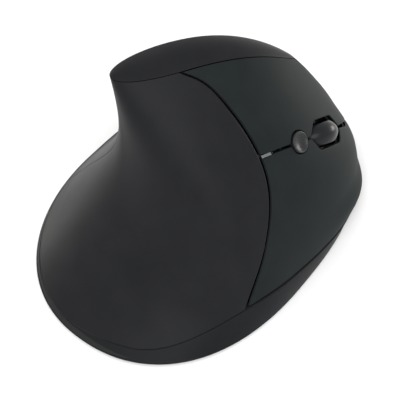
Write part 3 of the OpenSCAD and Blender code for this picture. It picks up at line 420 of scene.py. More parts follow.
# %% Patches between four lines
def patch_point(low, high, left, right, u, v):
    """A patch between four borders: the two blends of opposite borders, less the blend of corners."""
    u3, v3 = u[..., None], v[..., None]
    corners = mix(mix(low(0.0), low(1.0), u3), mix(high(0.0), high(1.0), u3), v3)
    return mix(low(u), high(u), v3) + mix(left(v), right(v), u3) - corners


def by_level(level, b0, b1):
    """A border that runs between two bearings at a level line."""
    def line(k):
        """The point at a share of the way."""
        b = mix(b0, b1, np.asarray(k, float))
        return np.stack([b, level(b)], -1)
    return line


def by_edge(edge, t0, t1):
    """A border that runs between two levels on a bearing line."""
    def line(k):
        """The point at a share of the way."""
        t = mix(t0, t1, np.asarray(k, float))
        return np.stack([edge(t), t], -1)
    return line


def straight(p, q):
    """A border straight from one corner to another."""
    p, q = np.asarray(p, float), np.asarray(q, float)
    return lambda k: mix(p, q, np.asarray(k, float)[..., None])


def steps(n):
    """The shares that cut a length into n equal parts."""
    return np.arange(1, n) / n


column_step = 0.0009


def spaced(lists, low, high):
    """All shares between two limits in order, rounded to a step, so that no two columns crowd together."""
    k = np.unique(np.round(np.concatenate(lists) / column_step)) * column_step
    return k[(k > low) & (k < high)]


print("five equal parts need", len(steps(5)), "lines between the ends")

# %% Shells with rounded edges
NEAR = np.array([0, 0.04, 0.16, 0.36, 0.64, 1.0, 1.25, 1.8])
wall, nudge = 1.8, 0.002


def inside(b, t, share):
    """The inner face of the wall: the form at that depth, or straight in along the normal at share 1."""
    place, _, _, out = frame_at(b, t)
    return mix(form(b, t, wall), place - wall * out, share[..., None])


def line_shares(mid, first, last, r_first, r_last):
    """Lines at set millimetres from both ends of every row, and the middle lines between."""
    low = NEAR * (r_first / first)[:, None]
    high = 1 - (NEAR * (r_last / last)[:, None])[:, ::-1]
    body = low[:, -1:] + mid * (high[:, :1] - low[:, -1:])
    return np.concatenate([low, body, high], 1)


def rounding(in_u, in_v, r_u, r_v):
    """How deep a rounded edge sinks, and how far into the round a point is.

    The depth is r (1 - sqrt(1 - q q)), where q is that share, and r lies between the two radii.
    """
    r = (in_u * r_u + in_v * r_v + 1e-9) / (in_u + in_v + 1e-9)
    q = hold(np.hypot(in_u, in_v))
    return r * (1 - np.sqrt(1 - q**2)), q


def shell(name, borders, u_mid, v_mid, radii, square=None, aim=None):
    """A shell with its four edges rounded. radii: low, high, left and right edge in millimetres.

    The patch is laid out in bearing and level, put on the form, and sunk towards the inner face near
    its borders. Where an edge has openings, aim turns the lines so that they leave them squarely.
    """
    def spot(u, v):
        """Bearing and level at a place on the patch."""
        q = patch_point(*borders, u, v)
        return q if aim is None else aim(u, v, q)

    def point(u, v):
        """The same place on the form."""
        return form(*np.moveaxis(spot(u, v), -1, 0))

    def pace(u, v, du, dv):
        """Millimetres per share of the patch: the length of a small step over the step."""
        return size(point(u + du, v + dv) - point(u, v)) / nudge

    us, vs = [np.concatenate([0 * NEAR, mid, 0 * NEAR + 1]) for mid in (u_mid, v_mid)]
    r_low, r_high = [r(us) if callable(r) else r + 0 * us for r in radii[:2]]
    r_left, r_right = [r + 0 * vs for r in radii[2:]]
    left, right = pace(0 * vs, vs, nudge, 0), pace(0 * vs + 1, vs, -nudge, 0)
    low, high = pace(us, 0 * us, 0, nudge), pace(us, 0 * us + 1, 0, -nudge)
    u = line_shares(u_mid, left, right, r_left, r_right).T
    v = line_shares(v_mid, low, high, r_low, r_high)
    b, t = np.moveaxis(spot(u, v), -1, 0)
    inner = inside(b, t, 0 * u if square is None else square(u, v))
    low, high, r_low, r_high = [k[:, None] for k in (low, high, r_low, r_high)]
    in_u = np.maximum(hold(1 - u * left / r_left), hold(1 - (1 - u) * right / r_right))
    in_v = np.maximum(hold(1 - v * low / r_low), hold(1 - (1 - v) * high / r_high))
    r_u, r_v = np.where(u < 0.5, r_left, r_right), np.where(v < 0.5, r_low, r_high)
    depth, edge = rounding(in_u, in_v, r_u, r_v)
    flat = frame_at(b, t)[3] * (edge == 0)[..., None]
    return closed_sheet(name, mix(form(b, t), inner, (depth / wall)[..., None]), inner, edge, flat)


print("rounded edges use", len(NEAR), "lines on each side")

# %% [markdown]
# The palm panel is the big plain sheet under the hand. It runs from the seam of the buttons round
# the palm to the seam behind the neck, and from the base's lip up to the ridge. One patch carries
# it all, with a soft edge along the groove and nearly sharp edges where it meets fixed parts.

# %% The palm panel
t_heel, t_seam = meet(rear_in, lip_top), meet(seam_in, lip_top)
t_neck, t_top = meet(rear_in, ridge_line), meet(seam_in, ridge_line)
palm_panel = shell(
    "palm_shell",
    (by_level(lip_top, rear_in(t_heel), seam_in(t_seam)),
     by_level(ridge_line, rear_in(t_neck), seam_in(t_top)),
     by_edge(rear_in, t_heel, t_neck),
     by_edge(seam_in, t_seam, t_top)),
    steps(110), steps(80), (0.12, 0.12, 0.15, 0.8))
on_body(palm_panel, "body", "body_plastic", "palm_panel")

# %% [markdown]
# The two main buttons meet at a slit that carries every finger control: a silver strip, a narrow
# groove, the round speed button, and the six-sided window of the wheel. Past the window it dips as
# it rounds the nose. Its half width is one function of the place along it, for both buttons.

# %% The slit
wheel_bearing, wheel_level, slit_fall, nose_dip, speed_bearing = 40.6, 0.6648, 0.00055, 0.085, 27.0
window_flat, window_tip, window_half = (6.1, 6.6), (9.8, 10.3), 4.85
speed_l, speed_w, key_gap, slit_gap, nose_flare = 6.6, 6.9, 0.35, 0.8, 0.4
strip_l, strip_half = 3.75, 0.65


def slit_level(b):
    """The level of the slit: a straight line that falls slowly, and dips once where it rounds the nose."""
    return wheel_level - slit_fall * (b - wheel_bearing) - nose_dip * ramp(b, 48, 81)


slit_pace = along(wheel_bearing, wheel_level)
slit_start = seam_out(slit_level(seam_most))
strip_end = slit_start + strip_l / slit_pace
nose_end = button_nose(slit_level(nose_bearing))
print("slit from bearing %.1f to %.1f, %.2f mm a degree" % (slit_start, nose_end, slit_pace))

# %% The width of the slit
def soft_min(a, b, w):
    """The lesser of two numbers, with the corner between them eased over a width w."""
    return (a + b - np.sqrt((a - b) ** 2 + w * w)) / 2


def oval(s, l, w):
    """The half width of an oval at s."""
    return w * np.sqrt(hold(1 - (s / l) ** 2, 0))


def slit_half(b):
    """Half the slit's width: the widest of the slit, the wheel's window, the speed ring and the strip."""
    s = (b - wheel_bearing) * slit_pace
    tip, flat = [np.where(s < 0, *pair) for pair in (window_tip, window_flat)]
    flare = slit_gap / 2 + nose_flare * hold((s - window_tip[1]) / 8)
    window = window_half * hold(soft_min(1, (tip - np.abs(s)) / (tip - flat), 0.12))
    ring = oval((b - speed_bearing) * slit_pace, speed_l / 2 + key_gap, speed_w / 2 + key_gap)
    strip = mix(slit_gap / 2, strip_half, ramp(b, strip_end + 0.4, strip_end))
    return np.max([flare, window, ring, strip], 0)


def slit_share(b):
    """How far a bearing is along the slit, from 0 at the seam to 1 at the nose."""
    return (b - slit_start) / (nose_end - slit_start)


def square_share(u):
    """How far the buttons' walls are square along the slit."""
    return ramp(u, 0.06, 0.12) * ramp(u, 0.95, 0.6)


def slit_lean(b):
    """How far a unit of level goes along the slit and across it, in millimetres."""
    place, x, y, _ = frame_at(b, slit_level(b))
    step = (form(b, slit_level(b) + level_step) - place) / level_step
    return (step * x).sum(-1), (step * y).sum(-1)


def slit_border(side):
    """The edge of a button along the slit, with the lean of the form taken out of the openings."""
    def line(k):
        """The point at a share of the way."""
        b = mix(slit_start, nose_end, np.asarray(k, float))
        step_x, step_y = slit_lean(b)
        h = side * slit_half(b)
        lean = square_share(slit_share(b)) * h * step_x / step_y / slit_pace
        return np.stack([b - lean, slit_level(b) + h / step_y], -1)
    return line


def slit_aim(side):
    """Lines that leave the slit across it. Its openings fade out half way over the patch."""
    def turn(u, v, q):
        """A place on the patch, with its line turned."""
        b = mix(slit_start, nose_end, u)
        step_x, step_y = slit_lean(b)
        off = v if side > 0 else 1 - v
        t = q[..., 1] + side * (slit_half(b) - slit_gap / 2) / step_y * (ramp(off, 0.55, 0) - 1 + off)
        near = hold((t - slit_level(b)) * step_y, -6, 6)
        across = b - square_share(u) * near * step_x / step_y / slit_pace
        share = ramp(u, 0, 0.1) * ramp(u, 1, 0.8) * ramp(off, 0.98, 0.5)
        return np.stack([mix(q[..., 0], across, share), t], -1)
    return turn


print("window %.1f mm wide, ring %.1f mm" % (2 * window_half, speed_w + 2 * key_gap))

# %% Columns where the slit turns
oval_reach = (speed_l / 2 + key_gap) / slit_pace
around = speed_bearing - oval_reach * np.cos(np.linspace(0, np.pi, 33))
turns = [-window_tip[0], -window_flat[0], window_flat[1], window_tip[1]]
kinks = wheel_bearing + np.concatenate([np.linspace(s - 1.2, s + 1.2, 9) for s in turns]) / slit_pace
ends = strip_end + np.array([-0.05, 0.01, 0.2])
slit_columns = spaced([steps(70), *map(slit_share, (around, kinks, ends))], 0.03, 0.985)
print(len(slit_columns), "columns along the slit")

# %% [markdown]
# Each main button is a shell like the palm panel. Along the slit its edge is rounder towards the
# nose, where the two buttons fall away from each other and the gap opens into a notch. The
# radius is therefore a function of the place along the slit.

# %% The main buttons
tip_share = slit_share(wheel_bearing + window_tip[1] / slit_pace)
slit_r, notch_r, groove_r, front_r = 0.4, 0.7, 0.7, 0.45


def slit_round(u):
    """The radius of the edge along the slit: it grows past the window, towards the nose."""
    return mix(slit_r, notch_r, ramp(u, tip_share, tip_share + 0.16))


slit_left, slit_right = slit_border(1), slit_border(-1)
t_top = meet(seam_out, button_ridge)
b_tip = button_nose(meet(button_nose, button_ridge))
left_button = shell(
    "left_button_shell",
    (slit_left,
     by_level(button_ridge, seam_out(t_top), b_tip),
     by_edge(seam_out, slit_left(0.0)[1], t_top),
     straight(slit_left(1.0), [b_tip, button_ridge(b_tip)])),
    slit_columns, steps(40), (slit_round, 0.14, groove_r, front_r),
    lambda u, v: (1 - v) * square_share(u), slit_aim(1))
on_body(left_button, "left_button", "button_plastic", "left_button")

# %% The right button
t_seam, t_nose = meet(seam_out, button_lip), meet(button_nose, button_lip)
right_button = shell(
    "right_button_shell",
    (by_level(button_lip, seam_out(t_seam), button_nose(t_nose)),
     slit_right,
     by_edge(seam_out, t_seam, slit_right(0.0)[1]),
     straight([button_nose(t_nose), t_nose], slit_right(1.0))),
    slit_columns, steps(56), (0.16, slit_round, groove_r, front_r),
    lambda u, v: v * square_share(u), slit_aim(-1))
on_body(right_button, "right_button", "button_plastic", "right_button")

# %% [markdown]
# On the other side the thumb has a hollow wall with two long buttons in it. The wall below them
# and the ridge cap above them share one line, which opens into two rounded slots. The line is
# again a half width about a level, so the wall and the cap stay in step.

# %% The line of the thumb buttons
thumb_level, thumb_gap, key_h = 0.7, 0.5, 5.6
thumb_keys = ((157.5, 7.4), (177.0, 7.4))


def key_oval(s, l, h):
    """The half height of a long slot with rounded ends: one less the fourteenth power."""
    return h * hold(1 - (s / l) ** 14, 0)


def thumb_edge(b, side):
    """The edge beside the thumb buttons: above them for side 1, below them for side -1."""
    half = np.max([shell_gap / 2 + 0 * b] + [
        key_oval((b - mid) * along(mid, thumb_level), reach + thumb_gap, key_h / 2 + thumb_gap)
        for mid, reach in thumb_keys], 0)
    return thumb_level + side * half / up(b, thumb_level)


b_nose, b_rear = nose_rim(thumb_level), rear_rim(thumb_level)


def thumb_line(side):
    """The border along the thumb buttons, from the nose to the rear seam."""
    return by_level(lambda b: thumb_edge(b, side), b_nose, b_rear)


def thumb_aim(side):
    """Lines that leave the slots at an even bearing. The slots fade out half way over the patch."""
    def turn(u, v, q):
        """A place on the patch, with its line turned."""
        b = mix(b_nose, b_rear, u)
        off = v if side > 0 else 1 - v
        slot = thumb_edge(b, side) - thumb_level - side * shell_gap / 2 / up(b, thumb_level)
        share = ramp(u, 0, 0.34) * ramp(u, 1, 0.65) * ramp(off, 0.8, 0.4)
        return np.stack([mix(q[..., 0], b, share), q[..., 1] + slot * (ramp(off, 0.45, 0) - 1 + off)], -1)
    return turn


slots = np.concatenate([
    mid - (reach + thumb_gap) / along(mid, thumb_level) * np.cos(np.linspace(0, np.pi, 61))
    for mid, reach in thumb_keys])
thumb_columns = spaced([steps(110), (slots - b_nose) / (b_rear - b_nose)], 0.02, 0.98)
print("thumb line from bearing %.1f to %.1f" % (b_nose, b_rear))

# %% The thumb wall
t_nose, t_heel = meet(nose_rim, lip_top), meet(rear_rim, lip_top)
thumb_wall = shell(
    "thumb_wall_shell",
    (by_level(lip_top, nose_rim(t_nose), rear_rim(t_heel)),
     thumb_line(-1),
     by_edge(nose_rim, t_nose, thumb_edge(b_nose, -1)),
     by_edge(rear_rim, t_heel, thumb_edge(b_rear, -1))),
    thumb_columns, steps(60), (0.12, 0.3, 0.4, 0.15), aim=thumb_aim(-1))
on_body(thumb_wall, "body", "body_plastic", "thumb_shell")

# %% [markdown]
# The ridge cap is a leaf on top of the mouse that folds over and runs down the thumb side. Each of
# its cross lines goes up the flank, turns over a rounded edge and crosses the leaf to the parting
# line, so one grid carries the whole cap. The leaf is left plain.

# %% The ridge cap's grid
cap_front, cap_rear, cap_crown, fold_rows, fold_rounds = 94.0, 264.0, 1.2, 12, 12


def cap_end(k):
    """The flank's rear end, along the rear seam and a little ahead of it at the ridge."""
    t = mix(thumb_edge(b_rear, 1), 1.0, np.asarray(k, float))
    return np.stack([rear_rim(t) + (cap_rear - rear_rim(1.0)) * k, t], -1)


def cap_grid(depth, us, flank, leaf):
    """Rows up the flank, by the patch between the thumb buttons and the ridge, then across the leaf.

    The leaf is the straight line over the ridge, raised by crown 4 k (1 - k) at its middle. The
    flank's normals come with the points.
    """
    low = thumb_line(1)
    high = straight([cap_front, 1.0], [cap_rear, 1.0])
    front = straight(low(0.0), high(0.0))
    u, v = np.meshgrid(us, flank, indexing="ij")
    b, t = np.moveaxis(thumb_aim(1)(u, v, patch_point(low, high, front, cap_end, u, v)), -1, 0)
    side = form(b, t, depth)
    plain = (v > 0.04) & (v < 0.85) & (np.abs(u - 0.5) < 0.47)
    facing = frame_at(b, t)[3] * plain[..., None]
    b = mix(cap_front, cap_rear, us)
    near, far = form(b, 1.0, depth), form(180 - b, 1.0, depth)
    k = leaf * (1 - hair / 2 / size(near - far))[:, None]
    top = mix(near[:, None], far[:, None], k[..., None])
    top[..., 2] += cap_crown * 4 * k * (1 - k) * np.abs(np.cos(np.radians(b)))[:, None]
    return np.concatenate([side, top], 1), np.concatenate([facing, 0 * top], 1)


def ease(grid, weight, rounds):
    """Each row of points moved towards the mean of its two neighbours, where weight is 1."""
    for _ in range(rounds):
        mean = (np.roll(grid, 1, 1) + np.roll(grid, -1, 1)) / 2
        grid = mix(grid, mean, weight[:, None] / 2)
    return grid


low_edge, far_edge = [0, 0.012, 0.03, 0.05], [0.985, 0.992, 0.997, 1]
flank = np.concatenate([low_edge, mix(0.05, 0.93, steps(26)), np.linspace(0.93, 1, fold_rows)])
leaf = np.concatenate([np.linspace(0, 0.1, fold_rows)[1:], mix(0.1, 0.985, steps(34)), far_edge])
print("cap:", len(flank), "rows up the flank,", len(leaf), "across the leaf")

# %% The ridge cap
rows = len(flank) + len(leaf)
fold = bell((np.arange(rows) - len(flank)) / fold_rows)
cap_us = np.concatenate([[0, 0.003, 0.008], thumb_columns, [0.992, 0.997, 1]])
cap_outer, cap_facing = cap_grid(0.0, cap_us, flank, leaf)
cap_outer = ease(cap_outer, fold, fold_rounds)
cap_inner = ease(cap_grid(wall, cap_us, flank, leaf)[0], fold, fold_rounds)
sink = np.zeros(rows)
sink[:4], sink[-4:] = [0.3, 0.1, 0.02, 0], [0, 0.01, 0.04, 0.12]
cap_outer = mix(cap_outer, cap_inner, (sink / wall)[:, None])
cap_edge = np.tile(hold(sink / sink[-1]), (len(cap_us), 1))
ridge_cap = closed_sheet("ridge_cap_shell", cap_outer, cap_inner, cap_edge, cap_facing)
on_body(ridge_cap, "body", "body_plastic", "ridge_cap")

# %% [markdown]
# The base shows as a dark band under the shells. Its tray is the CAD solid, with all its openings
# underneath, and a fine skin goes over the outside of its wall, so the band has no flat facets.
# The skin is a closed loop of rows, carried all the way round, and its back is hidden in the wall.

# %% The base band
band_r, band_depth, band_start, side_rows, button_room = 0.14, 1.7, 0.005, 18, 0.24
skin_least, skin_wave = 0.08, (0.24, -15, 80)


def band_grid(bearings):
    """Rows from the chamfer at the desk, up the form to the lip, over the rounded lip, and back inside.

    Below the right button the lip is a little lower, so that the button has room to move. The rows
    that show are then moved outwards by the thickness of the skin.
    """
    b = bearings[:, None]
    room = button_room * ramp(signed(b), -30, -20) * ramp(signed(b), 100, 91)
    top = above(lip, b, -hair / 2 - room)
    reach = top - band_r / up(b, np.maximum(0.01, top))
    foot = form(b, 0.0, np.array([0.5, 0.2, 0.0]))
    foot[..., 2] += [0.0, 0.1, 0.3]
    side = form(b, mix(band_start, reach, np.linspace(0, 1, side_rows)))
    turn = np.linspace(0, np.pi / 2, 6)[1:]
    over = form(b, reach + (top - reach) * np.sin(turn), band_r * (1 - np.cos(turn)))
    back = form(b, mix(band_start, top, np.array([1, 0.5, 0])), band_depth)
    skin = skin_least + wave(b, *skin_wave)
    share = np.array([1.0] * (3 + side_rows) + [1.0, 0.95, 0.9, 0.8, 0.7] + [0.0] * 3)
    out = unit(form(b, 0.0) * [1, 1, 0])
    return np.concatenate([foot, side, over, back], 1) + (skin * share)[..., None] * out


band = band_grid(np.arange(0, 360, 1.25))
base_band = put_mesh("base_band", band.reshape(-1, 3), ring_quads(*band.shape[:2]))
on_body(base_band, "body", "body_plastic")

# %% [markdown]
# The scroll wheel's tyre is a smooth rubber barrel, highest in the middle of its width, with its two
# corners eased. A lathe shape is a profile carried round an axis, so one outer product of the profile
# and the circle gives every point. The axis lies across the slit.

# %% The wheel's frame
wheel_sunk = 6.4
wheel_p, _, _, wheel_z = frame_at(wheel_bearing, wheel_level)
beyond, before = [form(b, slit_level(b)) for b in (wheel_bearing + 1, wheel_bearing - 1)]
ahead = beyond - before
wheel_x = unit(ahead - (ahead @ wheel_z) * wheel_z)
wheel_y = np.cross(wheel_z, wheel_x)
wheel_mid = wheel_p - wheel_sunk * wheel_z


def turned(profile, centre, axis, start, count):
    """A profile of (radius, place along the axis) carried round the axis in count steps."""
    a = np.linspace(0, 2 * np.pi, count, endpoint=False)
    spoke = np.cos(a)[:, None] * start + np.sin(a)[:, None] * np.cross(axis, start)
    return centre + profile[:, :1] * spoke[:, None] + profile[:, 1:] * axis


print("wheel middle at", wheel_mid.round(1), "mm")

# %% The wheel's tyre
tyre_r, tyre_half, tyre_fall, tyre_bore = 9.0, 3.5, 1.9, 6.82
across = np.linspace(-1, 1, 61)
crown = tyre_r - tyre_fall * np.abs(across) ** 1.9 - 0.12 * ramp(np.abs(across), 0.93, 1.0)
profile = np.stack([crown, tyre_half * across], -1)
bore = np.array([[tyre_bore, 0.0], [tyre_bore, -tyre_half], [tyre_bore, tyre_half]])
loop = np.concatenate([bore[:2], profile, bore[2:]])[::-1]
barrel = turned(loop, wheel_mid, wheel_y, wheel_x, 144)
tyre = put_mesh("wheel_tyre_barrel", barrel.reshape(-1, 3), ring_quads(*barrel.shape[:2]))
on_body(tyre, "scroll_wheel", "wheel_rubber", "wheel_tyre")

# %% [markdown]
# The speed button is a small round cap with a raised rim and a ribbed dish, so that a fingertip
# finds it. Rings of one oval, each at its own size and height, make the cap, and a wave along one
# direction adds the ribs.

# %% The speed button
def oval_cap(place, x, y, z, rings, length, width, count, relief):
    """Rings of an oval: share of the size, height. relief adds to the height at a place on the cap."""
    a = np.linspace(0, 2 * np.pi, count, endpoint=False)
    share = rings[:, :1]
    sx, sy = share * length / 2 * np.cos(a), share * width / 2 * np.sin(a)
    h = rings[:, 1:] + relief(sx, sy, share)
    return place + sx[..., None] * x + sy[..., None] * y + h[..., None] * z


rib_h, rib_pitch = 0.08, 0.82


def ribs(sx, sy, share):
    """Fine ribs along the slit, a cosine across it, that fade before the rim and away from the wheel."""
    return rib_h * np.cos(2 * np.pi * sy / rib_pitch) * ramp(share, 0.78, 0.66) * ramp(sx, -0.8, 0.6)


dish_edge, dish_top, dish_depth = 0.82, 0.42, 0.85
shares = np.linspace(dish_edge, 0.02, 36)
dish = np.stack([shares, dish_top - dish_depth * (1 - (shares / dish_edge) ** 2) ** 0.75], -1)
rim = np.array([[1, -3], [1, -1], [1, 0], [0.995, 0.2], [0.975, 0.36], [0.95, 0.45],
                [0.92, 0.49], [0.89, 0.5], [0.86, 0.48]])
speed_frame = frame_at(speed_bearing, slit_level(speed_bearing))
cap = oval_cap(*speed_frame, np.concatenate([rim, dish]), speed_l, speed_w, 128, ribs)
n, m = cap.shape[:2]
speed_cap = put_mesh("speed_cap", cap.reshape(-1, 3), ring_quads(n, m, False)[:, ::-1],
                     caps=[np.arange(m)[::-1], np.arange(m) + (n - 1) * m])
on_body(speed_cap, "speed_button", "dark_plastic", "speed_button")

# %% [markdown]
# The thumb buttons are long pads that follow the wall and stand a little proud of it, rolled over
# at every side. Each is a grid over its oval, lifted along the surface's own normal.

# %% The thumb buttons
pad_proud, pad_depth = 0.9, 3.1


def crowded(n):
    """n shares that crowd at both ends: half of one less the cosine of up to half a turn."""
    return (1 - np.cos(np.linspace(0, np.pi, n))) / 2


def thumb_pad(name, mid, reach):
    """A long pad that stands a little proud of the form, its sides rolled over by a quarter circle."""
    pace = along(mid, thumb_level)
    u, v = crowded(81), crowded(41)
    b = (mid + mix(-0.998, 0.998, u) * reach / pace)[:, None]
    h = key_oval((b - mid) * pace, reach, key_h / 2) / up(b, thumb_level)
    t = thumb_level + h * mix(-1, 1, v)
    edge_u = hold(6 * np.minimum(u, 1 - u))[:, None]
    edge_v = hold(5 * np.minimum(v, 1 - v))
    swell = np.sqrt(1 - (1 - edge_u) ** 2) * np.sqrt(1 - (1 - edge_v) ** 2)
    outer = form(b, t) + (pad_proud * swell)[..., None] * frame_at(b, t)[3]
    return closed_sheet(name, outer, form(b, t, pad_depth), 1 - swell)


pads = {name: thumb_pad(name + "_pad", *key) for name, key in zip(("forward", "back"), thumb_keys)}
for name, pad in pads.items():
    on_body(pad, name + "_button", "button_plastic", name + "_button")

# %% [markdown]
# A short silver strip fills the slit next to the seam, with a thin dark wall behind it. Both are
# small bars on the form, with their upper edges rolled, so one function makes the two.

# %% The silver strip
roll_r, bar_depth = 0.18, 2.1


def slit_bar(name, b0, b1, half, sunk):
    """A bar in the slit between two bearings, from its sunk top inwards, its upper edges rolled."""
    u, v = np.linspace(0, 1, 33), np.linspace(-1, 1, 17)
    b = mix(b0, b1, u)[:, None]
    t = slit_level(b) + half / up(b0, slit_level(b0)) * v
    end = roll_r / ((b1 - b0) * slit_pace)
    near = np.minimum(hold(np.minimum(u, 1 - u) / end)[:, None], hold((1 - np.abs(v)) / 0.3))
    roll = roll_r * (1 - np.sqrt(1 - (1 - near) ** 2))
    return closed_sheet(name, form(b, t, sunk + roll), form(b, t, bar_depth))


strip_stop = strip_end - 0.15 / slit_pace
strip = slit_bar("silver_strip_bar", slit_start + 0.03, strip_stop, 0.5, 0.05)
on_body(strip, "body", "silver_strip", "indicator_strip")
wall_start, wall_stop = strip_stop + np.array([0.5, 0.85]) / slit_pace
end_wall = slit_bar("strip_end_wall", wall_start, wall_stop, 0.36, 0.25)
on_body(end_wall, "body", "dark_plastic")

# %% [markdown]
# The finishes come next. The shells have a soft matt coat: nearly black, with a fine grain from the
# mould, a little uneven in colour and gloss, and shinier along the edges, where hands polish it.
# Everything is small, so the noise is tied to millimetres in Object coordinates. On the fixed shells
# a lighter warm brown is painted along the rounded edges, speckled by the grain: a painted highlight
# of the thin light line that those edges catch. The edge attribute says where.

# %% A moulded finish
def add(tree, kind, **inputs):
    """A node of a kind, with the values of some of its inputs."""
    node = tree.nodes.new(kind)
    for key, value in inputs.items():
        node.inputs[key].default_value = value
    return node


def two_tone(tree, fac, dark, light):
    """A colour ramp from dark to light over the middle of a noise's range."""
    tones = tree.nodes.new("ShaderNodeValToRGB")
    for stop, place, colour in zip(tones.color_ramp.elements, (0.3, 0.72), (dark, light)):
        stop.position, stop.color = place, (*colour, 1)
    tree.links.new(fac, tones.inputs["Fac"])
    return tones.outputs["Color"]


def reckon(tree, kind, a, b, c=0.0):
    """A sum or product: each of a, b and c is a number or another node's output."""
    node = tree.nodes.new("ShaderNodeMath")
    node.operation = kind
    for k, value in enumerate((a, b, c)):
        if isinstance(value, (int, float)):
            node.inputs[k].default_value = value
        else:
            tree.links.new(value, node.inputs[k])
    return node.outputs[0]


patchy = 0.14


def finish(name, colour, rough, grain=0.0, scale=4000.0, blotch=0.12, specular=0.3,
           metal=0.0, worn=0.0, painted_edge_highlight=None):
    """A moulded finish: softly varied colour, patchy roughness, grain in bump, worn shinier edges, and where
    a colour is given, a painted highlight in it along the edges.
    """
    m = bpy.data.materials.new(name)
    m.use_nodes = True
    tree = m.node_tree
    link = tree.links.new
    shade = tree.nodes["Principled BSDF"]
    shade.inputs["Specular IOR Level"].default_value = specular
    shade.inputs["Metallic"].default_value = metal
    place = tree.nodes.new("ShaderNodeTexCoord").outputs["Object"]
    fine = add(tree, "ShaderNodeTexNoise", Scale=scale, Detail=3.0, Roughness=0.6)
    wide = add(tree, "ShaderNodeTexNoise", Scale=90.0, Detail=4.0, Roughness=0.55)
    for noise in (fine, wide):
        link(place, noise.inputs["Vector"])
    dark, light = [[c * k for c in colour] for k in (1 - blotch, 1 + blotch)]
    tone = two_tone(tree, wide.outputs["Fac"], dark, light)
    level = reckon(tree, "MULTIPLY_ADD", wide.outputs["Fac"], patchy, rough - patchy / 2)
    if worn:
        edge = tree.nodes.new("ShaderNodeAttribute")
        edge.attribute_name = "edge"
        level = reckon(tree, "MULTIPLY_ADD", edge.outputs["Fac"], -worn, level)
        if painted_edge_highlight:
            # Painted highlight: the edges are lightened to a warm brown, speckled by the grain.
            edge_highlight_mix = add(tree, "ShaderNodeMix")
            edge_highlight_mix.data_type = "RGBA"
            edge_highlight_mix.inputs["B"].default_value = (*painted_edge_highlight, 1)
            share = reckon(tree, "MULTIPLY", edge.outputs["Fac"], fine.outputs["Fac"])
            link(share, edge_highlight_mix.inputs["Factor"])
            link(tone, edge_highlight_mix.inputs["A"])
            tone = edge_highlight_mix.outputs["Result"]
    link(tone, shade.inputs["Base Color"])
    link(level, shade.inputs["Roughness"])
    if grain:
        bump = add(tree, "ShaderNodeBump", Strength=grain, Distance=0.0001)
        link(fine.outputs["Fac"], bump.inputs["Height"])
        link(bump.outputs["Normal"], shade.inputs["Normal"])
    return m


# The warm brown along soft_black's edges is a painted highlight.
soft_black = finish("soft_black", (0.0124, 0.0128, 0.0144), 0.44, grain=0.3, specular=0.08, worn=0.1,
                    painted_edge_highlight=(0.030, 0.020, 0.016))
button_black = finish("button_black", (0.0112, 0.0145, 0.0148), 0.56, grain=0.25, specular=0.075, worn=0.1)
band_black = finish("band_black", (0.0108, 0.0115, 0.0128), 0.48, grain=0.2, specular=0.08)
print("shell finishes:", soft_black.name, button_black.name, band_black.name)

# %% [markdown]
# The other materials are made the same way, each with its own colour, gloss and grain: rubber on
# the wheel, silver paint on the strip, and behind the openings black mouldings, steel, green boards
# and wrapped cells. What lies deep inside is painted darker than its own colour, as painted shade in
# the openings: the black mouldings near black, and the steel of the wheel's axle and encoder dark.

# %% The other finishes
tray_black = finish("tray_black", (0.0095, 0.0098, 0.0104), 0.5, grain=0.5, scale=1800, specular=0.25)
rubber = finish("wheel_rubber_black", (0.009, 0.010, 0.0112), 0.3, grain=0.03, specular=0.18)
cap_black = finish("speed_cap_black", (0.010, 0.0108, 0.012), 0.4, grain=0.1, specular=0.4)
silver = finish("silver_paint", (0.13, 0.14, 0.142), 0.38, grain=0.2, specular=0.4, metal=0.2, blotch=0.06)
# Black moulding painted darker still: painted shade for the parts deep inside the openings.
inner_black_and_shade = finish("inner_black_and_shade", (0.005, 0.005, 0.0055), 0.5, grain=0.3, specular=0.15)
white_lens = finish("light_body", (0.70, 0.69, 0.62), 0.3, blotch=0.05)
board_green = finish("board_green", (0.006, 0.030, 0.015), 0.35, grain=0.3, scale=900, blotch=0.35,
                     specular=0.5)
steel = finish("plated_steel", (0.55, 0.55, 0.56), 0.3, grain=0.15, metal=1.0, blotch=0.06)
# Steel painted dark: painted shade for the axle and encoder inside the wheel window.
shade_darkened_steel = finish("shade_darkened_steel", (0.06, 0.06, 0.062), 0.45, grain=0.2, metal=0.8, blotch=0.1)
cell_wrap = finish("cell_wrap", (0.05, 0.16, 0.09), 0.3, blotch=0.15, specular=0.5)
slick = finish("slick_foot", (0.05, 0.05, 0.053), 0.28, grain=0.12, blotch=0.1)
lens = finish("clear_lens", (0.35, 0.36, 0.38), 0.08, blotch=0.03, specular=0.5)


def dress(thing, material):
    """The piece's only material."""
    thing.data.materials.clear()
    thing.data.materials.append(material)


new_finish = {
    soft_black: (palm_panel, thumb_wall, ridge_cap),
    button_black: (left_button, right_button, *pads.values()),
    band_black: (base_band,), rubber: (tyre,), cap_black: (speed_cap, end_wall), silver: (strip,)}
for material, pieces in new_finish.items():
    for piece in pieces:
        dress(piece, material)
print("dressed", sum(len(p) for p in new_finish.values()), "new pieces")

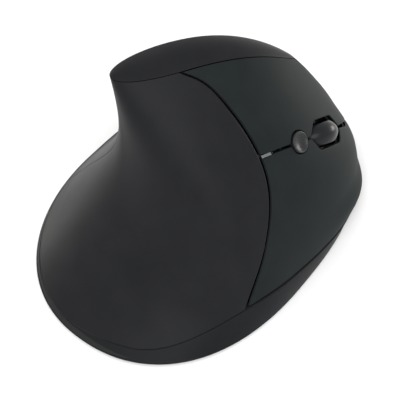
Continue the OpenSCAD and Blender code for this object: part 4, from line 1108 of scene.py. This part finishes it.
# %% The solids that stay
cad_finish = {
    tray_black: ("base_shell", "battery_door"),
    # Painted shade: these inner parts are darker than black plastic, so the openings read deep dark.
    inner_black_and_shade: ("wheel_hub", "wheel_rocker", "button_frame", "left_switch", "right_switch", "wheel_switch",
                  "speed_switch", "thumb_switches", "sensor_chip", "power_switch"),
    steel: ("battery_contacts", "receiver_plug", "screws"),
    # Painted shade: the axle and encoder are steel painted dark, as the shade in the wheel window.
    shade_darkened_steel: ("wheel_axle", "wheel_encoder"),
    board_green: ("button_board", "thumb_board", "main_board"),
    cap_black: ("power_slider", "receiver_grip"),
    white_lens: ("indicator_led",), lens: ("sensor_lens",), cell_wrap: ("battery_cells",), slick: ("feet",)}
for material, names in cad_finish.items():
    for name in names:
        for slot in nodes[name].material_slots:
            slot.material = material
print("finished", sum(len(n) for n in cad_finish.values()), "CAD nodes")

# %% [markdown]
# The mouse stands on a plain white table. The table is lit well past white, so only the thin shadow
# at the mouse's edge is left of it. It is open under the middle of the mouse and clear from below,
# so that light reaches the underside, and the underside can be looked at too.

# %% The table
def table_finish():
    """White from above, clear from below: the side of the face that is hit chooses."""
    m = finish("table_white", (0.9, 0.9, 0.9), 0.6, grain=0.05, scale=300, blotch=0.01)
    tree = m.node_tree
    link = tree.links.new
    clear, choose = tree.nodes.new("ShaderNodeBsdfTransparent"), tree.nodes.new("ShaderNodeMixShader")
    link(tree.nodes.new("ShaderNodeNewGeometry").outputs["Backfacing"], choose.inputs["Fac"])
    link(tree.nodes["Principled BSDF"].outputs["BSDF"], choose.inputs[1])
    link(clear.outputs["BSDF"], choose.inputs[2])
    link(choose.outputs["Shader"], tree.nodes["Material Output"].inputs["Surface"])
    return m


table_z, table_rings = -0.05, (-5, 60, 450)
outline = form(np.arange(0, 360, 3.75), 0.0) * [1, 1, 0] + [0, 0, table_z]
out = unit(outline * [1, 1, 0])
table = np.stack([outline + reach * out for reach in table_rings])
floor = put_mesh("floor", table.reshape(-1, 3), ring_quads(*table.shape[:2], False))
dress(floor, table_finish())
print("table at %.2f mm, open under the middle of the mouse" % table_z)

# %% [markdown]
# Pale surroundings and a wide light high over the palm side fill the whole form evenly. Two low
# softboxes then draw it: the one on the left gives the flare behind the neck its warm sheen, and the
# one ahead of the nose picks out the crest where the buttons turn down.

# %% Light
def area(name, place, target, width, height, power, colour=(1, 1, 1)):
    """A soft light that faces a target."""
    light = bpy.data.lights.new(name, "AREA")
    light.shape = "RECTANGLE"
    light.size, light.size_y = width, height
    light.energy, light.color = power, colour
    thing = bpy.data.objects.new(name, light)
    thing.location = place
    thing.rotation_euler = (Vector(target) - Vector(place)).to_track_quat("-Z", "Y").to_euler()
    bpy.context.scene.collection.objects.link(thing)


world = bpy.data.worlds.new("studio")
bpy.context.scene.world = world
world.use_nodes = True
sky = world.node_tree.nodes["Background"]
sky.inputs["Color"].default_value = (1, 1, 1, 1)
sky.inputs["Strength"].default_value = 0.9
warm = (1.0, 0.96, 0.9)
area("top_softbox", (0.42, -0.3, 0.75), (0, 0, 0.03), 0.7, 0.7, 5)
area("left_softbox", (-0.55, -0.12, 0.06), (-0.02, -0.02, 0.02), 0.3, 0.1, 2.2, warm)
area("nose_softbox", (0.05, 0.6, 0.06), (0.02, 0.03, 0.03), 0.3, 0.1, 1.3, warm)

# %% [markdown]
# The camera looks down on the palm side from behind, as the photograph does. Its place is a bearing,
# an elevation and a distance from a target near the middle of the mouse.

# %% The camera
target, distance = Vector((6.56, -3.59, 18.08)) * MM, 353.63 * MM
az, el, view_angle = np.radians([53.44, 53.85, 20.92])
back = Vector((np.sin(az) * np.cos(el), -np.cos(az) * np.cos(el), np.sin(el)))
right = Vector((np.cos(az), np.sin(az), 0))
camera = bpy.data.objects.new("camera", bpy.data.cameras.new("camera"))
camera.data.angle = view_angle
camera.data.clip_start = 0.01
turn = Matrix((right, back.cross(right), back)).transposed()
camera.matrix_world = Matrix.Translation(target + back * distance) @ turn.to_4x4()
bpy.context.scene.collection.objects.link(camera)
bpy.context.scene.camera = camera
bpy.context.scene.view_settings.view_transform = "Standard"
print("camera at", [round(c, 3) for c in camera.matrix_world.translation])
